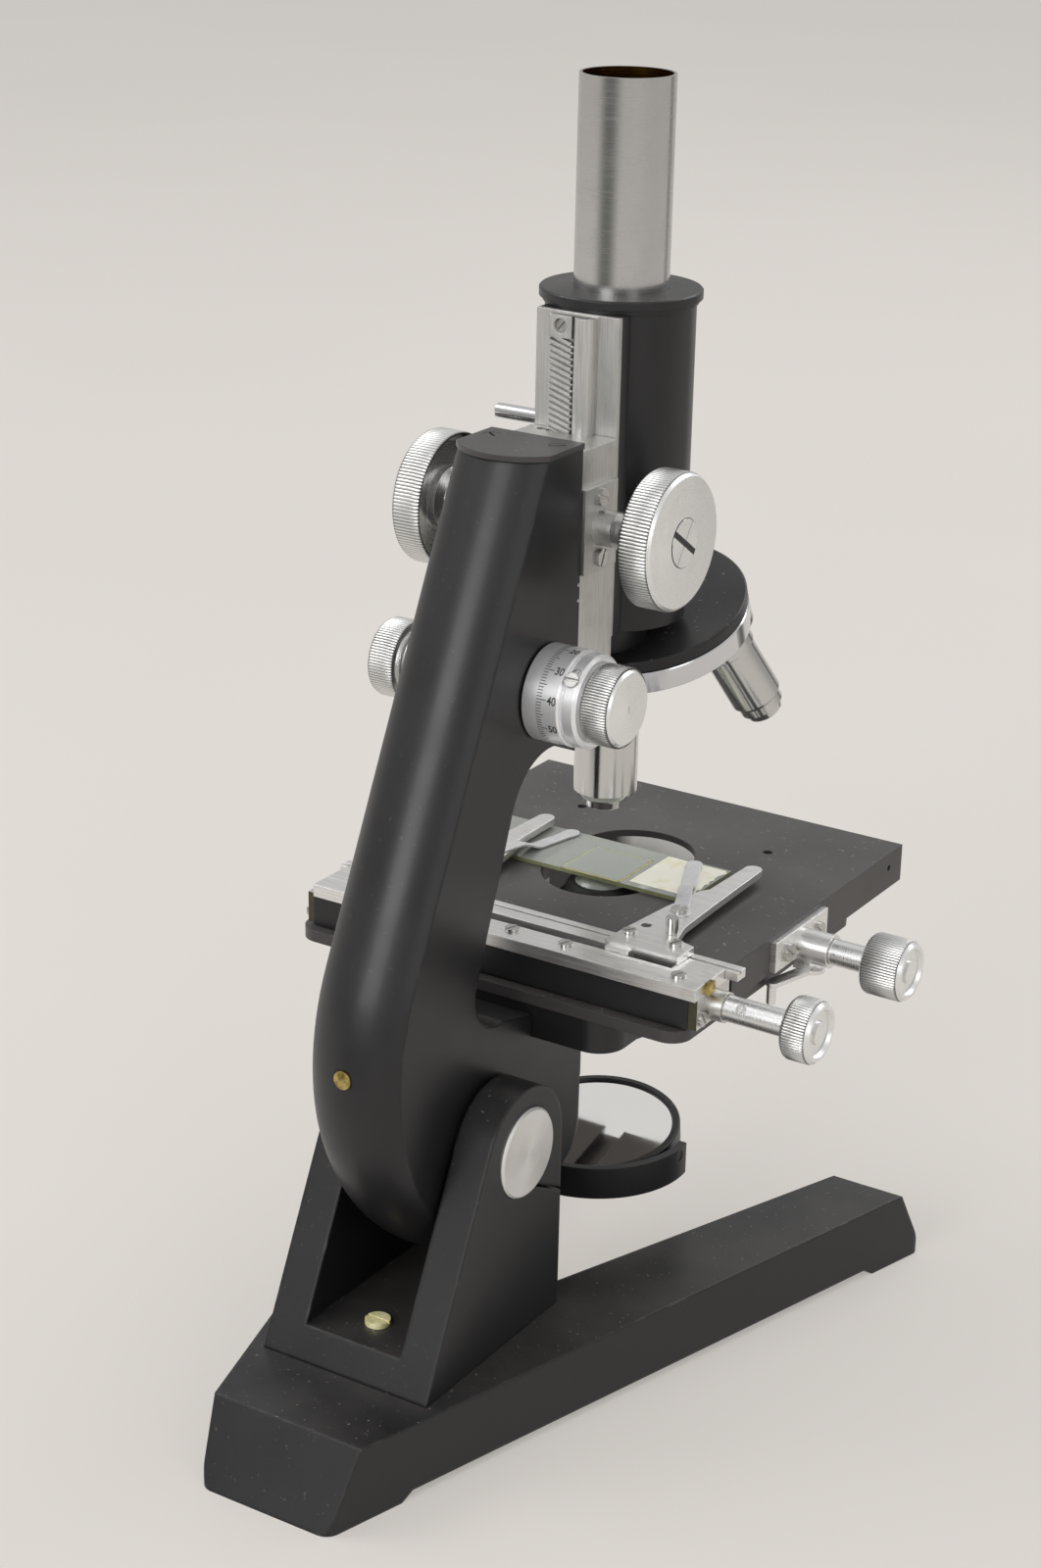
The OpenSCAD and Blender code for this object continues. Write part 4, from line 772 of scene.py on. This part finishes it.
def make_floor():
    mesh = bpy.data.meshes.new("floor")
    half = 8.0
    corners = [(-half, -half, 0), (half, -half, 0), (half, half, 0), (-half, half, 0)]
    mesh.from_pydata(corners, [], [(0, 1, 2, 3)])
    floor = bpy.data.objects.new("floor", mesh)
    bpy.context.scene.collection.objects.link(floor)
    s = Shader("floor")
    cloud = s.noise(2.2, 3)
    base = s.mix(s.spread(cloud, 0.35, 0.65), linear(212, 208, 203), linear(216, 212, 207))
    s.set(Base_Color=base, Roughness=0.65, Normal=s.bump(s.noise(900, 2), 0.00002, 0.2))
    # Seen directly or in a reflection, half of the floor's pale colour doesn't depend on the lamps
    camera, glossy, through = (s.add("LightPath", out="Is %s Ray" % kind)
                               for kind in ("Camera", "Glossy", "Transmission"))
    seen = s.maths("MINIMUM", s.maths("ADD", s.maths("ADD", camera, glossy), through), 1.0)
    glow = s.add("Emission", {"Color": linear(220, 215, 209), "Strength": 1.0})
    blend = s.add("MixShader", {0: s.product(seen, 0.5), 1: s.bsdf.outputs[0], 2: glow})
    x, y = s.part("X"), s.maths("SUBTRACT", s.part("Y"), 0.1)
    away = s.spread(s.distance(x, y), 0.28, 0.55)
    dim = s.product(dim_sides(s, x, y), away, glossy, 0.85)
    shade = s.add("Emission", {"Color": linear(58, 56, 54), "Strength": 1.0})
    blend = s.add("MixShader", {0: dim, 1: blend, 2: shade})
    s.tree.links.new(blend, s.tree.nodes["Material Output"].inputs["Surface"])
    mesh.materials.append(s.material)


def add_lamp(name, place, aim, size, power):
    data = bpy.data.lights.new(name, "AREA")
    data.shape = "RECTANGLE"
    data.size, data.size_y = size
    data.energy = power
    lamp = bpy.data.objects.new(name, data)
    bpy.context.scene.collection.objects.link(lamp)
    lamp.location = place
    lamp.rotation_mode = "QUATERNION"
    lamp.rotation_quaternion = (Vector(aim) - Vector(place)).to_track_quat("-Z", "Y")


def make_world():
    """Even, soft light that grows towards the top.

    The camera sees a plain pale backdrop in its place, and reflections show two dim sides of the room.
    """
    horizon, zenith = (0.60, 0.59, 0.575, 1), (0.95, 0.95, 0.95, 1)
    dark, backdrop = (0.06, 0.058, 0.055, 1), (0.98, 0.94, 0.9, 1)
    world = bpy.data.worlds.new("studio")
    world.use_nodes = True
    bpy.context.scene.world = world
    s = Shader("studio", world.node_tree)
    direction = s.add("TexCoord", out="Generated")
    x, y, z = (s.part(axis, direction) for axis in "XYZ")
    sky = s.mix(s.spread(z, 0.0, 0.75), horizon, zenith)
    low = s.spread(z, 0.1, 0.4, 0.85, 0.0)
    dim = s.product(dim_sides(s, x, y), low, s.add("LightPath", out="Is Glossy Ray"))
    background = s.tree.nodes["Background"]
    seen = s.add("LightPath", out="Is Camera Ray")
    colour = s.mix(seen, s.mix(dim, sky, dark), backdrop)
    s.plug(colour, background.inputs["Color"])
    s.plug(0.72, background.inputs["Strength"])


def make_lights():
    centre = (0, 0.1, 0.17)
    add_lamp("key", (-1.5, -0.4, 1.7), centre, (1.2, 1.2), 15)
    add_lamp("side", (1.7, -0.9, 0.9), centre, (0.8, 1.2), 4)
    add_lamp("back", (0.4, 1.8, 1.5), centre, (1.6, 0.8), 12)
    add_lamp("window", (-0.15, -1.85, 0.95), centre, (1.0, 1.0), 18)


bpy.context.scene.view_settings.view_transform = "Standard"
make_camera()
make_world()
make_lights()
make_floor()
smooth_cad()
paint_nodes()
make_pieces()
